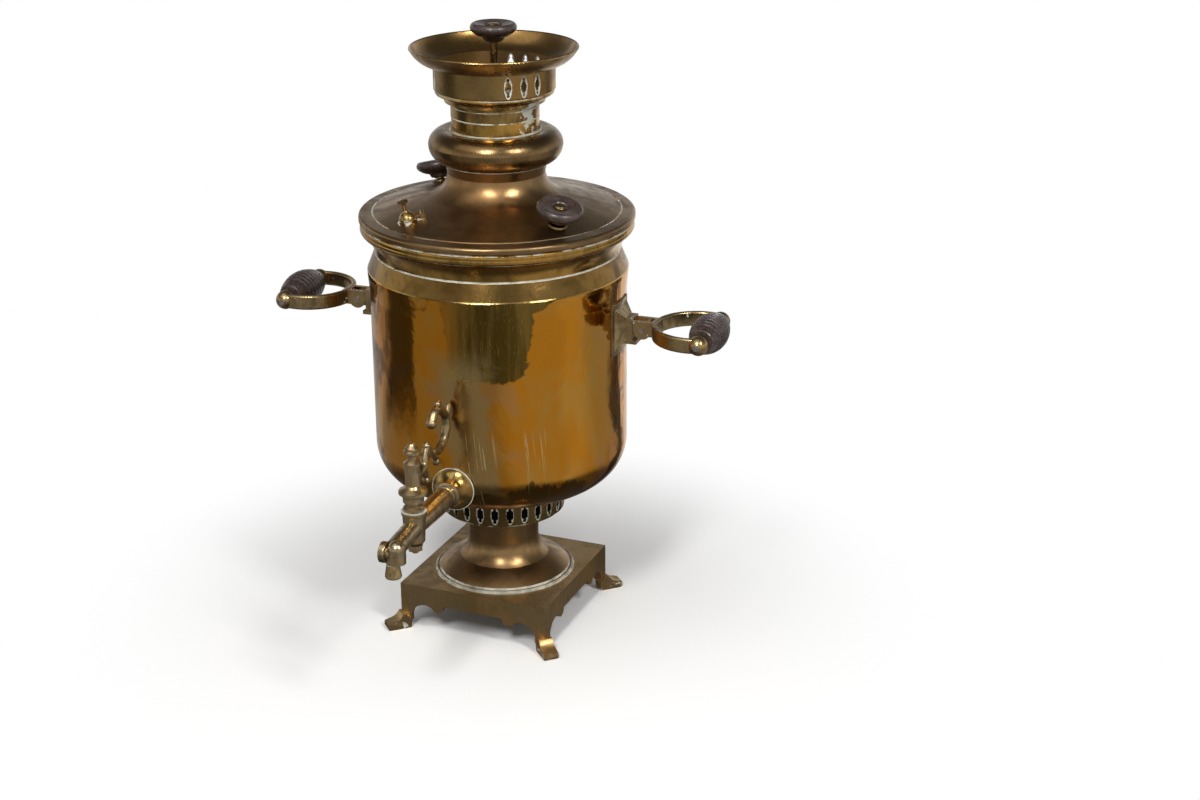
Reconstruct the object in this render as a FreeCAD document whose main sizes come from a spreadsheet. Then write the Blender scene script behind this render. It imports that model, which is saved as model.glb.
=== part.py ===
import FreeCAD, Part
import math
import os
import Sketcher

# Samovar with a charcoal tube, a lift-off lid, a crown for the teapot, a plug tap and two drop handles.
# Millimetres. +Z is up, the tap points along -Y, the handles lie along X.
# The origin is on the body's axis, in the plane of the four feet.

SIZES = [
    # base: a cast plinth on four toes, and the spun foot on it
    ("base_side", 144.2, "side of the square plinth"),
    ("base_height", 44.0, "plinth top above the table"),
    ("base_wall", 4.0, "plinth wall"),
    ("base_turn", -2.8, "how far the base has turned about its stud, degrees"),
    ("apron_depth", 17.5, "straight apron below the plinth top"),
    ("apron_half", 29.5, "half length of the straight apron"),
    ("lobe_radius", 6.0, "round lobe beside each arch"),
    ("lobe_end", 23.4, "height where the lobe meets the arch"),
    ("arch_radius", 13.6, "arch beside each leg"),
    ("leg_inner", 61.5, "inner edge of a leg from the middle"),
    ("leg_arch_end", 13.5, "height where the arch meets the leg"),
    ("toe_height", 8.0, "thickness of a toe at its tip"),
    ("toe_reach", 117.0, "toe tip from the axis, on the diagonal"),
    ("toe_width", 13.0, "width of a toe"),
    ("foot_flange_radius", 63.2, "foot flange"),
    ("foot_flange_thickness", 2.0, "foot flange"),
    ("dome_radius", 59.9, "edge of the foot dome"),
    ("waist_radius", 31.8, "waist under the draft gallery"),
    ("waist_height", 80.0, "narrowest point of the waist"),
    ("dome_rise", 14.5, "where the foot dome turns up into the waist"),
    ("sheet_wall", 1.4, "spun brass sheet"),
    # draft gallery under the body
    ("gallery_floor", 106.0, "underside of the gallery floor"),
    ("gallery_radius", 57.4, "gallery at its top"),
    ("gallery_foot_radius", 56.0, "gallery at its floor"),
    ("gallery_slots", 26.0, "air slots in the gallery"),
    ("slot_height", 16.4, "long way of a gallery slot"),
    ("slot_width", 6.2, "wide part of a gallery slot"),
    ("slot_lobe", 1.7, "radius of the round end of a slot"),
    ("stud_radius", 4.0, "tie stud from gallery to plinth"),
    ("nut_across", 17.0, "nut under the plinth, across its corners"),
    ("nut_height", 6.0, "nut under the plinth"),
    ("washer_radius", 13.0, "washer under the plinth"),
    # body
    ("body_radius", 113.6, "body wall"),
    ("shoulder_radius", 115.0, "edge of the shoulder"),
    ("shoulder_height", 337.0, "edge of the shoulder"),
    ("neck_radius", 108.3, "top of the shoulder"),
    ("neck_height", 352.6, "top of the shoulder"),
    ("corner_radius", 40.0, "rounded bottom of the body"),
    ("corner_height", 176.0, "where the body wall starts to round in"),
    ("body_floor", 130.4, "underside of the body"),
    ("wall", 1.3, "body wall thickness"),
    ("ring_height", 379.1, "top of the neck ring, where the lid rests"),
    ("ring_radius", 119.7, "bead of the neck ring"),
    ("ring_bead", 8.6, "height of the bead"),
    # fire tube and grate
    ("firebox_radius", 49.5, "fire tube around the coals"),
    ("firebox_top", 240.0, "where the fire tube starts to narrow"),
    ("chimney_radius", 38.0, "fire tube where it leaves the lid"),
    ("chimney_start", 310.0, "where the narrow tube starts"),
    ("chimney_top", 470.0, "top of the fire tube"),
    ("tube_wall", 1.5, "fire tube wall"),
    ("grate_thickness", 4.0, "cast grate"),
    ("grate_ledge", 4.5, "ledge height above the fire tube flange"),
    ("grate_slot", 5.0, "gap between the bars of the grate"),
    ("seat_gap", 0.3, "gap between pieces that lift off or turn"),
    # lid
    ("lid_radius", 120.9, "rim of the lid"),
    ("lid_rim", 7.3, "height of the rolled rim"),
    ("lid_skirt", 8.0, "skirt inside the neck ring"),
    ("skirt_radius", 109.6, "outside of the skirt"),
    ("groove_radius", 108.7, "fine groove around the lid plate"),
    ("plate_rise", 12.5, "rise of the lid plate from the rim to the neck's flare"),
    ("flare_radius", 62.0, "where the plate turns up into the neck"),
    ("lid_neck_radius", 42.5, "neck of the lid"),
    ("lid_neck_height", 421.0, "narrowest point of the lid's neck"),
    ("collar_base", 429.5, "underside of the collar"),
    ("collar_height", 29.0, "height of the collar"),
    ("collar_inset", 46.2, "where the collar's bulge starts"),
    ("collar_radius", 58.3, "widest part of the collar"),
    ("knob_place", 90.0, "lid knobs from the axis"),
    ("knob_angle", 56.0, "lid knob from the tap, degrees"),
    ("knob_radius", 20.0, "wooden knob"),
    ("knob_height", 15.6, "wooden knob"),
    ("knob_foot", 7.0, "radius of the knob's lower end"),
    ("spindle_radius", 3.2, "brass spindle of a knob"),
    ("lid_spindle_height", 3.8, "spindle between the lid and its knob"),
    # steam vent
    ("vent_place", 93.0, "steam vent from the axis"),
    ("vent_angle", -32.0, "steam vent from the tap, degrees"),
    ("vent_radius", 7.2, "steam vent seat"),
    ("vent_bore", 4.0, "steam vent hole"),
    ("vent_seat_height", 3.0, "steam vent seat"),
    ("vent_cap_height", 18.0, "vent cap with its knob"),
    ("vent_hinge_reach", 13.4, "vent hinge from the vent's axis"),
    ("vent_pin_radius", 1.1, "vent hinge pin"),
    # crown and the cap in it
    ("spigot_depth", 10.5, "crown inside the fire tube"),
    ("spigot_radius", 31.6, "crown inside the fire tube"),
    ("crown_step", 484.8, "ledge inside the crown"),
    ("crown_ledge_radius", 44.5, "outside of the crown at the ledge"),
    ("crown_band_base", 493.5, "underside of the crown's band"),
    ("crown_band_height", 20.8, "height of the slotted band"),
    ("crown_radius", 52.4, "slotted band"),
    ("crown_rim_radius", 72.6, "rim of the crown"),
    ("crown_rise", 14.6, "rise of the flared dish"),
    ("crown_slot_height", 16.2, "slot in the crown"),
    ("crown_slot_width", 5.8, "slot in the crown"),
    ("crown_slot_lobe", 1.4, "radius of the round end of a crown slot"),
    ("crown_slot_pitch", 15.5, "angle between slots, degrees"),
    ("crown_slot_start", 50.0, "middle slot of the first group from the tap, degrees"),
    ("cap_radius", 42.0, "chimney cap"),
    ("cap_rise", 6.0, "dome of the chimney cap"),
    ("cap_knob_base", 534.0, "underside of the crown's wooden knob"),
    # handles
    ("handle_height", 291.5, "handle pin above the table"),
    ("pin_reach", 135.8, "handle pin from the axis"),
    ("pin_radius", 2.5, "handle pin"),
    ("plate_width", 40.0, "bracket plate along the body"),
    ("plate_height", 46.0, "bracket plate"),
    ("plate_thickness", 1.3, "bracket plate"),
    ("arm_width", 16.4, "handle arm"),
    ("arm_height", 20.0, "handle arm at the body"),
    ("tongue_width", 7.8, "middle ear of the bracket"),
    ("ear_radius", 8.0, "rounded ear about the pin"),
    ("loop_lift", 1.6, "middle of the loop above the pin"),
    ("loop_radius", 39.4, "handle loop"),
    ("loop_thickness", 4.8, "handle loop, seen from above"),
    ("loop_height", 13.4, "handle loop, seen from the side"),
    ("grip_reach", 194.5, "grip from the axis"),
    ("grip_length", 51.0, "wooden grip"),
    ("grip_radius", 16.4, "wooden grip at its middle"),
    ("grip_end_radius", 11.0, "wooden grip at its ends"),
    ("grip_grooves", 8.0, "turned grooves in the grip"),
    ("ball_radius", 8.6, "ball end of the loop"),
    ("rod_radius", 2.5, "steel rod through the grip"),
    # tap
    ("tap_height", 167.0, "tap tube above the table"),
    ("tap_reach", 196.0, "tap barrel from the axis"),
    ("rosette_radius", 19.4, "trumpet rosette on the body"),
    ("rosette_depth", 12.0, "rosette"),
    ("shank_radius", 8.0, "threaded shank through the wall"),
    ("tube_radius", 9.6, "tap tube"),
    ("tube_end_radius", 8.4, "tap tube at the barrel"),
    ("shank_length", 18.0, "threaded shank inside the wall"),
    ("gasket_depth", 6.4, "fibre gasket, from the wall to the nut inside"),
    ("water_bore", 4.5, "water way through the tap"),
    ("barrel_radius", 9.8, "tap barrel at its top"),
    ("barrel_foot_radius", 8.6, "tap barrel at its foot"),
    ("barrel_top", 15.0, "barrel above the tube's axis"),
    ("barrel_drop", 15.5, "barrel below the tube's axis"),
    ("plug_radius", 6.4, "tapered plug at the barrel's top"),
    ("plug_foot_radius", 5.0, "tapered plug at the barrel's foot"),
    ("plug_clearance", 0.05, "running clearance of the plug"),
    ("key_height", 60.5, "key above the barrel"),
    ("flange_height", 16.5, "broad flange of the key above the barrel"),
    ("flange_radius", 12.2, "broad flange of the key"),
    ("column_radius", 6.2, "column of the key"),
    ("spout_reach", 240.0, "spout from the body's axis"),
    ("spout_radius", 8.2, "front tube of the tap"),
    ("spout_slope", 4.0, "fall of the front tube, degrees"),
    ("spout_drop", 4.6, "middle of the cheeks below the tap tube"),
    ("cheek_radius", 8.8, "round screw cap on the side of the spout"),
    ("cheek_gap", 8.4, "inner face of the screw cap, twice"),
    ("cheek_thickness", 5.2, "screw cap"),
    ("beak_radius", 7.6, "beak that turns down over the nozzle"),
    ("beak_shift", 3.4, "beak to the right of the nozzle"),
    ("nozzle_top", 13.5, "nozzle top below the tube's axis"),
    ("nozzle_length", 12.5, "flared nozzle"),
    ("nozzle_radius", 5.3, "nozzle at its top"),
    ("nozzle_foot_radius", 7.0, "nozzle at its mouth"),
    ("lever_bar", 3.7, "radius of the lever's main bar"),
    ("lever_thin", 2.8, "radius of the lever's thin bars"),
    ("lever_ball", 4.6, "ball at the lever's end"),
    ("locknut_height", 5.0, "nut inside the body"),
    ("locknut_across", 22.0, "nut inside the body, across its corners"),
]

doc = FreeCAD.newDocument("samovar")
sheet = doc.addObject("Spreadsheet::Sheet", "Sizes")
for row, (alias, value, meaning) in enumerate(SIZES, start=1):
    sheet.set("A%d" % row, alias.replace("_", " "))
    sheet.set("B%d" % row, str(value))
    sheet.setAlias("B%d" % row, alias)
    sheet.set("C%d" % row, meaning)
doc.recompute()

PIECES = []


def bound(expression):
    """The expression with each $name read from the sheet."""
    return str(expression).replace("$", "Sizes.")


def size(expression):
    """The number that an expression of the sheet's values gives."""
    answer = sheet.evalExpression(bound(expression))
    return float(getattr(answer, "Value", answer))


def keep(piece, label):
    """Names a finished sub-part."""
    piece.Label = label
    PIECES.append(piece)
    return piece


def origin_plane(body, role):
    for feature in body.Origin.OriginFeatures:
        if feature.Role == role:
            return feature
    raise ValueError(role)


def arc_centre(start, end, radius, side):
    """Centre of the arc from start to end, which bulges to the side of its chord."""
    half = math.hypot(end[0] - start[0], end[1] - start[1]) / 2
    reach = math.sqrt(max(radius * radius - half * half, 0.0))
    along = ((end[0] - start[0]) / (2 * half), (end[1] - start[1]) / (2 * half))
    middle = ((start[0] + end[0]) / 2, (start[1] + end[1]) / 2)
    return (middle[0] + side * reach * along[1], middle[1] - side * reach * along[0])


def draw(sketch, points):
    """Draws a closed outline. A point is (across, up) or (across, up, radius, side): with a radius,
    an arc leads on to the next point, and side 1 puts its centre to the right of the way."""
    places = [(size(point[0]), size(point[1])) for point in points]
    count = len(points)
    starts = []
    ends = []
    for number, point in enumerate(points):
        start = places[number]
        end = places[(number + 1) % count]
        if len(point) == 2:
            first = FreeCAD.Vector(start[0], start[1], 0)
            last = FreeCAD.Vector(end[0], end[1], 0)
            edge = sketch.addGeometry(Part.LineSegment(first, last), False)
            starts.append((edge, 1))
            ends.append((edge, 2))
            continue
        radius = size(point[2])
        centre = arc_centre(start, end, radius, point[3])
        angles = [math.atan2(place[1] - centre[1], place[0] - centre[0]) for place in (start, end)]
        clockwise = point[3] == 1
        if clockwise:
            angles.reverse()
        if angles[1] < angles[0]:
            angles[1] += 2 * math.pi
        circle = Part.Circle(FreeCAD.Vector(centre[0], centre[1], 0), FreeCAD.Vector(0, 0, 1), radius)
        edge = sketch.addGeometry(Part.ArcOfCircle(circle, angles[0], angles[1]), False)
        starts.append((edge, 2 if clockwise else 1))
        ends.append((edge, 1 if clockwise else 2))
    for number in range(count):
        following = (number + 1) % count
        sketch.addConstraint(Sketcher.Constraint("Coincident", *ends[number], *starts[following]))
    for number, point in enumerate(points):
        for kind, which in (("DistanceX", 0), ("DistanceY", 1)):
            value = places[number][which]
            corner = starts[number]
            index = sketch.addConstraint(Sketcher.Constraint(kind, -1, 1, *corner, value))
            if isinstance(point[which], str):
                sketch.setExpression("Constraints[%d]" % index, bound(point[which]))
        if len(point) == 4:
            rule = Sketcher.Constraint("Radius", starts[number][0], size(point[2]))
            index = sketch.addConstraint(rule)
            if isinstance(point[2], str):
                sketch.setExpression("Constraints[%d]" % index, bound(point[2]))


def new_sketch(body, name, role, points, offset=None):
    sketch = body.newObject("Sketcher::SketchObject", name)
    sketch.AttachmentSupport = (origin_plane(body, role), [""])
    sketch.MapMode = "FlatFace"
    if offset is not None:
        sketch.AttachmentOffset = offset
    draw(sketch, points)
    return sketch


def turned(name, points):
    """A body of revolution about Z, from its outline as (radius, height) points."""
    body = doc.addObject("PartDesign::Body", name)
    sketch = new_sketch(body, name + "_outline", "XZ_Plane", points)
    feature = body.newObject("PartDesign::Revolution", name + "_turned")
    feature.Profile = sketch
    feature.ReferenceAxis = (sketch, ["V_Axis"])
    feature.Angle = 360
    sketch.Visibility = False
    body.Tip = feature
    return body


def pocket(body, sketch, name, through=True, both=True):
    cut = body.newObject("PartDesign::Pocket", name)
    cut.Profile = sketch
    if through:
        cut.Type = "ThroughAll"
    cut.Midplane = both
    cut.Reversed = not both
    return cut


def around(body, features, count, name, angle=360):
    """Repeats features about the body's Z axis."""
    pattern = body.newObject("PartDesign::PolarPattern", name)
    pattern.Originals = features
    pattern.Axis = (origin_plane(body, "Z_Axis"), [""])
    pattern.Angle = angle
    if isinstance(count, str):
        pattern.setExpression("Occurrences", bound(count))
    else:
        pattern.Occurrences = count
    body.Tip = pattern
    return pattern


def primitive(kind, name, lengths, place=(0, 0, 0), turn=(0, 0, 1, 0)):
    """A Part primitive whose properties and place are bound to the sheet."""
    shape = doc.addObject("Part::" + kind, name)
    shape.Placement.Rotation = FreeCAD.Rotation(FreeCAD.Vector(*turn[:3]), size(turn[3]))
    if isinstance(turn[3], str):
        shape.setExpression("Placement.Rotation.Angle", bound(turn[3]))
    for key, value in lengths.items():
        shape.setExpression(key, bound(value))
    for axis, value in zip("xyz", place):
        shape.setExpression("Placement.Base." + axis, bound(value))
    return shape


ALONG_X = (0, 1, 0, 90)
ALONG_Y = (1, 0, 0, -90)
TOWARDS_TAP = (1, 0, 0, 90)


def rod(name, radius, length, place, turn=(0, 0, 1, 0)):
    return primitive("Cylinder", name, {"Radius": radius, "Height": length}, place, turn)


def block(name, length, width, height, place, turn=(0, 0, 1, 0)):
    return primitive("Box", name, {"Length": length, "Width": width, "Height": height}, place, turn)


def ball(name, radius, place):
    return primitive("Sphere", name, {"Radius": radius}, place)


def fuse(name, *pieces):
    result = doc.addObject("Part::MultiFuse", name)
    result.Shapes = list(pieces)
    result.Refine = True
    return result


def cut(name, piece, tool):
    result = doc.addObject("Part::Cut", name)
    result.Base = piece
    result.Tool = tool
    result.Refine = True
    return result


def common(name, piece, tool):
    result = doc.addObject("Part::Common", name)
    result.Base = piece
    result.Tool = tool
    result.Refine = True
    return result


def slot_outline(middle, height, width, lobe, flank):
    """A hexagonal slot with a small round lobe at each end. The flank is half of its straight side."""
    end = "((%s)/2 - 1.8*(%s))" % (height, lobe)
    waist = "0.6*(%s)" % lobe
    side = "(%s)/2" % width
    top = "(%s)/2" % height
    return [
        (side, "%s - %s" % (middle, flank)),
        (side, "%s + %s" % (middle, flank)),
        (waist, "%s + %s" % (middle, end), lobe, -1),
        (0, "%s + %s" % (middle, top), lobe, -1),
        ("-" + waist, "%s + %s" % (middle, end)),
        ("-" + side, "%s + %s" % (middle, flank)),
        ("-" + side, "%s - %s" % (middle, flank)),
        ("-" + waist, "%s - %s" % (middle, end), lobe, -1),
        (0, "%s - %s" % (middle, top), lobe, -1),
        (waist, "%s - %s" % (middle, end)),
    ]


# Base plinth

def base_plinth():
    body = doc.addObject("PartDesign::Body", "base_plinth")
    half = "$base_side/2"
    square = [("-" + half, "-" + half), (half, "-" + half), (half, half), ("-" + half, half)]
    lift = FreeCAD.Placement(FreeCAD.Vector(0, 0, 0), FreeCAD.Rotation())
    outer = new_sketch(body, "plinth_square", "XY_Plane", square, lift)
    outer.setExpression("AttachmentOffset.Base.z", bound("$toe_height"))
    slab = body.newObject("PartDesign::Pad", "plinth_slab")
    slab.Profile = outer
    slab.setExpression("Length", bound("$base_height - $toe_height"))
    inside = "$base_side/2 - $base_wall"
    cavity = [("-(%s)" % inside, "-(%s)" % inside), (inside, "-(%s)" % inside),
              (inside, inside), ("-(%s)" % inside, inside)]
    inner = new_sketch(body, "plinth_inside", "XY_Plane", cavity, lift)
    inner.setExpression("AttachmentOffset.Base.z", bound("$base_height - $base_wall"))
    hollow = body.newObject("PartDesign::Pocket", "plinth_hollow")
    hollow.Profile = inner
    hollow.setExpression("Length", bound("$base_height"))
    apron = "$base_height - $apron_depth"
    right = [("$apron_half", apron, "$lobe_radius", -1),
             ("$apron_half + 1.92*$lobe_radius", "$lobe_end", "$arch_radius", 1),
             ("$leg_inner", "$leg_arch_end"),
             ("$leg_inner", "$toe_height - 5")]
    left = [("-$leg_inner", "$toe_height - 5"),
            ("-$leg_inner", "$leg_arch_end", "$arch_radius", 1),
            ("-($apron_half + 1.92*$lobe_radius)", "$lobe_end", "$lobe_radius", -1),
            ("-$apron_half", apron)]
    for role in ("XZ_Plane", "YZ_Plane"):
        scallop = new_sketch(body, "scallop_" + role[:2], role, right + left)
        pocket(body, scallop, "aprons_" + role[:2])
    bore = new_sketch(body, "stud_room", "XY_Plane", [], lift)
    ring = Part.Circle(FreeCAD.Vector(0, 0, 0), FreeCAD.Vector(0, 0, 1), size("$stud_radius + 0.3"))
    edge = bore.addGeometry(ring, False)
    bore.addConstraint(Sketcher.Constraint("Coincident", edge, 3, -1, 1))
    rule = Sketcher.Constraint("Radius", edge, size("$stud_radius + 0.3"))
    index = bore.addConstraint(rule)
    bore.setExpression("Constraints[%d]" % index, bound("$stud_radius + 0.3"))
    bore.setExpression("AttachmentOffset.Base.z", bound("$base_height"))
    pocket(body, bore, "stud_hole")
    diagonal = FreeCAD.Placement(FreeCAD.Vector(0, 0, 0), FreeCAD.Rotation(FreeCAD.Vector(0, 1, 0), 45))
    corner = "($base_side/2)*1.4142"
    toe = [(corner + " - 7", 0), ("$toe_reach - 1.5", 0), ("$toe_reach", 2),
           ("$toe_reach - 0.4", "$toe_height - 2"), ("$toe_reach - 7", "$toe_height - 0.4", 12, 1),
           (corner + " + 0.6", "$toe_height + 6"),
           (corner + " - 3", "$toe_height + 6"), (corner + " - 8", "$toe_height - 1")]
    profile = new_sketch(body, "toe_profile", "XZ_Plane", toe, diagonal)
    pad = body.newObject("PartDesign::Pad", "toe")
    pad.Profile = profile
    pad.setExpression("Length", bound("$toe_width"))
    pad.Midplane = True
    around(body, [pad], 4, "toes")
    body.Placement.Rotation = FreeCAD.Rotation(FreeCAD.Vector(0, 0, 1), size("$base_turn"))
    body.setExpression("Placement.Rotation.Angle", bound("$base_turn"))
    return keep(body, "base_plinth")


base_plinth()


# Foot, draft gallery and the stud that ties them to the plinth

def foot_dome():
    base = "$base_height"
    wall = "$sheet_wall"
    points = [
        ("$foot_flange_radius - 6", base),
        ("$foot_flange_radius", base),
        ("$foot_flange_radius", base + " + $foot_flange_thickness"),
        ("$dome_radius + 0.6", base + " + $foot_flange_thickness"),
        ("$dome_radius", base + " + $foot_flange_thickness + 1.6", 70, -1),
        ("$waist_radius + 9", base + " + $dome_rise", 26, 1),
        ("$waist_radius", "$waist_height"),
        ("$waist_radius + 0.6", "$gallery_floor - 2.5"),
        ("$waist_radius + 3", "$gallery_floor"),
        ("$stud_radius + 0.3", "$gallery_floor"),
        ("$stud_radius + 0.3", "$gallery_floor - " + wall),
        ("$waist_radius - " + wall, "$gallery_floor - " + wall),
        ("$waist_radius - " + wall, "$waist_height", "26 + " + wall, -1),
        ("$waist_radius + 8.2", base + " + $dome_rise - 1.2", "70 - " + wall, 1),
        ("$foot_flange_radius - 6", base + " + $foot_flange_thickness + 0.4"),
    ]
    return keep(turned("foot_dome", points), "foot_dome")


def draft_gallery():
    floor = "$gallery_floor"
    wall = "$sheet_wall"
    top = "$body_floor"
    points = [
        ("$stud_radius + 0.3", floor),
        ("$gallery_foot_radius - 1.5", floor),
        ("$gallery_foot_radius", floor + " + 1.2"),
        ("$gallery_radius", top),
        ("$gallery_radius - " + wall, top),
        ("$gallery_foot_radius - " + wall, floor + " + " + wall),
        ("$stud_radius + 0.3", floor + " + " + wall),
    ]
    body = turned("draft_gallery", points)
    middle = "($gallery_floor + $body_floor)/2"
    outline = slot_outline(middle, "$slot_height", "$slot_width", "$slot_lobe", "0.22*$slot_height")
    sketch = new_sketch(body, "gallery_slot", "XZ_Plane", outline)
    opening = pocket(body, sketch, "gallery_slot_cut", both=False)
    around(body, [opening], "$gallery_slots", "gallery_slot_row")
    return keep(body, "draft_gallery")


foot_dome()
draft_gallery()

stud_low = "$base_height - $base_wall - $nut_height - 5"
stud_high = "$gallery_floor + $sheet_wall"
keep(turned("tie_stud", [
    (0, stud_low),
    ("$stud_radius - 0.8", stud_low),
    ("$stud_radius", stud_low + " + 1"),
    ("$stud_radius", stud_high),
    ("$stud_radius + 3.5", stud_high),
    ("$stud_radius + 3.5", stud_high + " + 2"),
    (0, stud_high + " + 4"),
]), "tie_stud")
keep(turned("tie_washer", [
    ("$stud_radius + 0.1", "$base_height - $base_wall - 1.5"),
    ("$washer_radius", "$base_height - $base_wall - 1.5"),
    ("$washer_radius", "$base_height - $base_wall"),
    ("$stud_radius + 0.1", "$base_height - $base_wall"),
]), "tie_washer")


def hex_nut(label, across, height, bore, place, turn=(0, 0, 1, 0)):
    prism = primitive("Prism", label + "_prism", {"Circumradius": across + "/2", "Height": height},
                      place, turn)
    prism.Polygon = 6
    hole = rod(label + "_hole", bore, height, place, turn)
    return keep(cut(label, prism, hole), label)


hex_nut("tie_nut", "$nut_across", "$nut_height", "$stud_radius + 0.05",
        (0, 0, "$base_height - $base_wall - 1.5 - $nut_height"))


# Body shell, neck ring, fire tube and grate

def body_shell():
    wall = "$wall"
    angle = math.radians(75)
    low_x = "$body_radius - $corner_radius*%.5f" % (1 - math.cos(angle))
    low_z = "$corner_height - $corner_radius*%.5f" % math.sin(angle)
    inner_x = "$body_radius - $corner_radius*%.5f - %s*%.5f" % (1 - math.cos(angle), wall, math.cos(angle))
    inner_z = "$corner_height - $corner_radius*%.5f + %s*%.5f" % (math.sin(angle), wall, math.sin(angle))
    floor = "$body_floor"
    return turned("body_wall", [
        ("$firebox_radius - $tube_wall + 0.5", floor),
        ("$gallery_radius", floor),
        (low_x, low_z, "$corner_radius", -1),
        ("$body_radius", "$corner_height"),
        ("$body_radius", "$shoulder_height - 20"),
        ("$shoulder_radius", "$shoulder_height - 4"),
        ("$shoulder_radius", "$shoulder_height - 0.6"),
        ("$shoulder_radius - 0.6", "$shoulder_height + 0.6"),
        ("$neck_radius", "$neck_height"),
        ("$neck_radius - 4.5", "$neck_height"),
        ("$neck_radius - 4.5", "$neck_height - " + wall),
        ("$neck_radius - 1.2", "$neck_height - " + wall),
        ("$shoulder_radius - 1.6 - " + wall, "$shoulder_height + 1"),
        ("$shoulder_radius - " + wall, "$shoulder_height - 4"),
        ("$body_radius - " + wall, "$shoulder_height - 20"),
        ("$body_radius - " + wall, "$corner_height", "$corner_radius - " + wall, 1),
        (inner_x, inner_z),
        ("$gallery_radius", floor + " + " + wall),
        ("$firebox_radius - $tube_wall + 0.5", floor + " + " + wall),
    ])


tap_hole = rod("tap_hole", "$shank_radius + 0.2", 20, (0, "-$body_radius + 10", "$tap_height"), TOWARDS_TAP)
keep(cut("body_shell", body_shell(), tap_hole), "body_shell")

keep(turned("neck_ring", [
    ("$neck_radius - 4.5", "$neck_height"),
    ("$neck_radius", "$neck_height"),
    ("$neck_radius + 0.3", "$neck_height + 2.4", 26, 1),
    ("$ring_radius - 3.2", "$ring_height - $ring_bead - 0.6"),
    ("$ring_radius - 1.6", "$ring_height - $ring_bead", 3.4, -1),
    ("$ring_radius", "$ring_height - $ring_bead/2 + 0.4", 5, -1),
    ("$ring_radius - 0.6", "$ring_height"),
    ("$skirt_radius + $seat_gap + 1", "$ring_height"),
    ("$skirt_radius + $seat_gap + 1", "$ring_height - 1.5"),
    ("$ring_radius - 4.8", "$ring_height - 1.5"),
    ("$ring_radius - 4.8", "$ring_height - $ring_bead + 0.4"),
    ("$neck_radius - 1", "$neck_height + 3.4"),
    ("$neck_radius - 1", "$neck_height + 1.5"),
    ("$neck_radius - 4.5", "$neck_height + 1.5"),
]), "neck_ring")

tube_floor = "$body_floor + $wall"
grate_seat = tube_floor + " + 1.5 + $grate_ledge"
keep(turned("fire_tube", [
    ("$firebox_radius - $tube_wall", tube_floor),
    ("$firebox_radius + 6", tube_floor),
    ("$firebox_radius + 6", tube_floor + " + 1.5"),
    ("$firebox_radius", tube_floor + " + 1.5"),
    ("$firebox_radius", "$firebox_top"),
    ("$chimney_radius", "$chimney_start"),
    ("$chimney_radius", "$chimney_top"),
    ("$chimney_radius - $tube_wall", "$chimney_top"),
    ("$chimney_radius - $tube_wall", "$chimney_start"),
    ("$firebox_radius - $tube_wall", "$firebox_top"),
    ("$firebox_radius - $tube_wall", grate_seat),
    ("$firebox_radius - $tube_wall - 3", grate_seat),
    ("$firebox_radius - $tube_wall - 3", grate_seat + " - 1.6"),
    ("$firebox_radius - $tube_wall", grate_seat + " - 3.2"),
]), "fire_tube")


def grate():
    radius = "$firebox_radius - $tube_wall - 0.5"
    disc = rod("grate_disc", radius, "$grate_thickness", (0, 0, grate_seat))
    gaps = []
    count = 3
    for number in range(-count, count + 1):
        middle = "%d*2*$grate_slot" % number
        chord = "2*sqrt((%s)^2 - (%s)^2) - 14" % (radius, middle)
        gaps.append(block("grate_gap_%d" % (number + count), "$grate_slot", chord, "$grate_thickness",
                          (middle + " - $grate_slot/2", "-(%s)/2" % chord, grate_seat)))
    return keep(cut("grate", disc, fuse("grate_gaps", *gaps)), "grate")


grate()


# Lid with its collar, knobs and steam vent

plate_edge = "$ring_height + $lid_rim"
plate_foot = plate_edge + " + 1.2"
plate_top = plate_foot + " + $plate_rise"
slope = math.atan2(size("$plate_rise - 0.1"), size("$groove_radius - 0.9 - $flare_radius"))


def plate_height(place):
    """Top of the lid plate at a distance from the axis."""
    share = "($groove_radius - 0.9 - %s)/($groove_radius - 0.9 - $flare_radius)" % place
    return "%s + 0.1 + ($plate_rise - 0.1)*%s" % (plate_foot, share)


def lid_wall():
    wall = "$sheet_wall"
    return turned("lid_wall", [
        ("$skirt_radius - " + wall, "$ring_height - $lid_skirt"),
        ("$skirt_radius", "$ring_height - $lid_skirt"),
        ("$skirt_radius", plate_edge + " - " + wall),
        ("$lid_radius - 6.4", plate_edge + " - " + wall),
        ("$lid_radius - 6.4", "$ring_height"),
        ("$lid_radius - 2.2", "$ring_height"),
        ("$lid_radius", "$ring_height + 2.2"),
        ("$lid_radius", plate_edge + " - 2.6", 2.8, -1),
        ("$lid_radius - 2.4", plate_edge),
        ("$groove_radius + 0.9", plate_edge + " + 0.9"),
        ("$groove_radius", plate_edge + " + 0.3"),
        ("$groove_radius - 0.9", plate_foot + " + 0.1"),
        ("$flare_radius", plate_top, 24, 1),
        ("$lid_neck_radius", "$lid_neck_height"),
        ("$lid_neck_radius + 2", "$collar_base"),
        ("$lid_neck_radius + 2 - " + wall, "$collar_base"),
        ("$lid_neck_radius - " + wall, "$lid_neck_height", "24 + " + wall, -1),
        ("$flare_radius - 0.3", plate_top + " - " + wall),
        ("$groove_radius - 1.4", plate_foot + " + 0.1 - " + wall),
        ("$skirt_radius - " + wall, plate_edge + " - " + wall),
    ])


def on_plate(place, angle):
    """A frame on the lid plate: its origin on the surface, its Z axis square to the plate."""
    turn = FreeCAD.Rotation(FreeCAD.Vector(0, 0, 1), size(angle))
    lean = FreeCAD.Rotation(FreeCAD.Vector(1, 0, 0), math.degrees(slope))
    spot = turn.multVec(FreeCAD.Vector(0, -size(place), size(plate_height(place))))
    return FreeCAD.Placement(spot, turn.multiply(lean))


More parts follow.
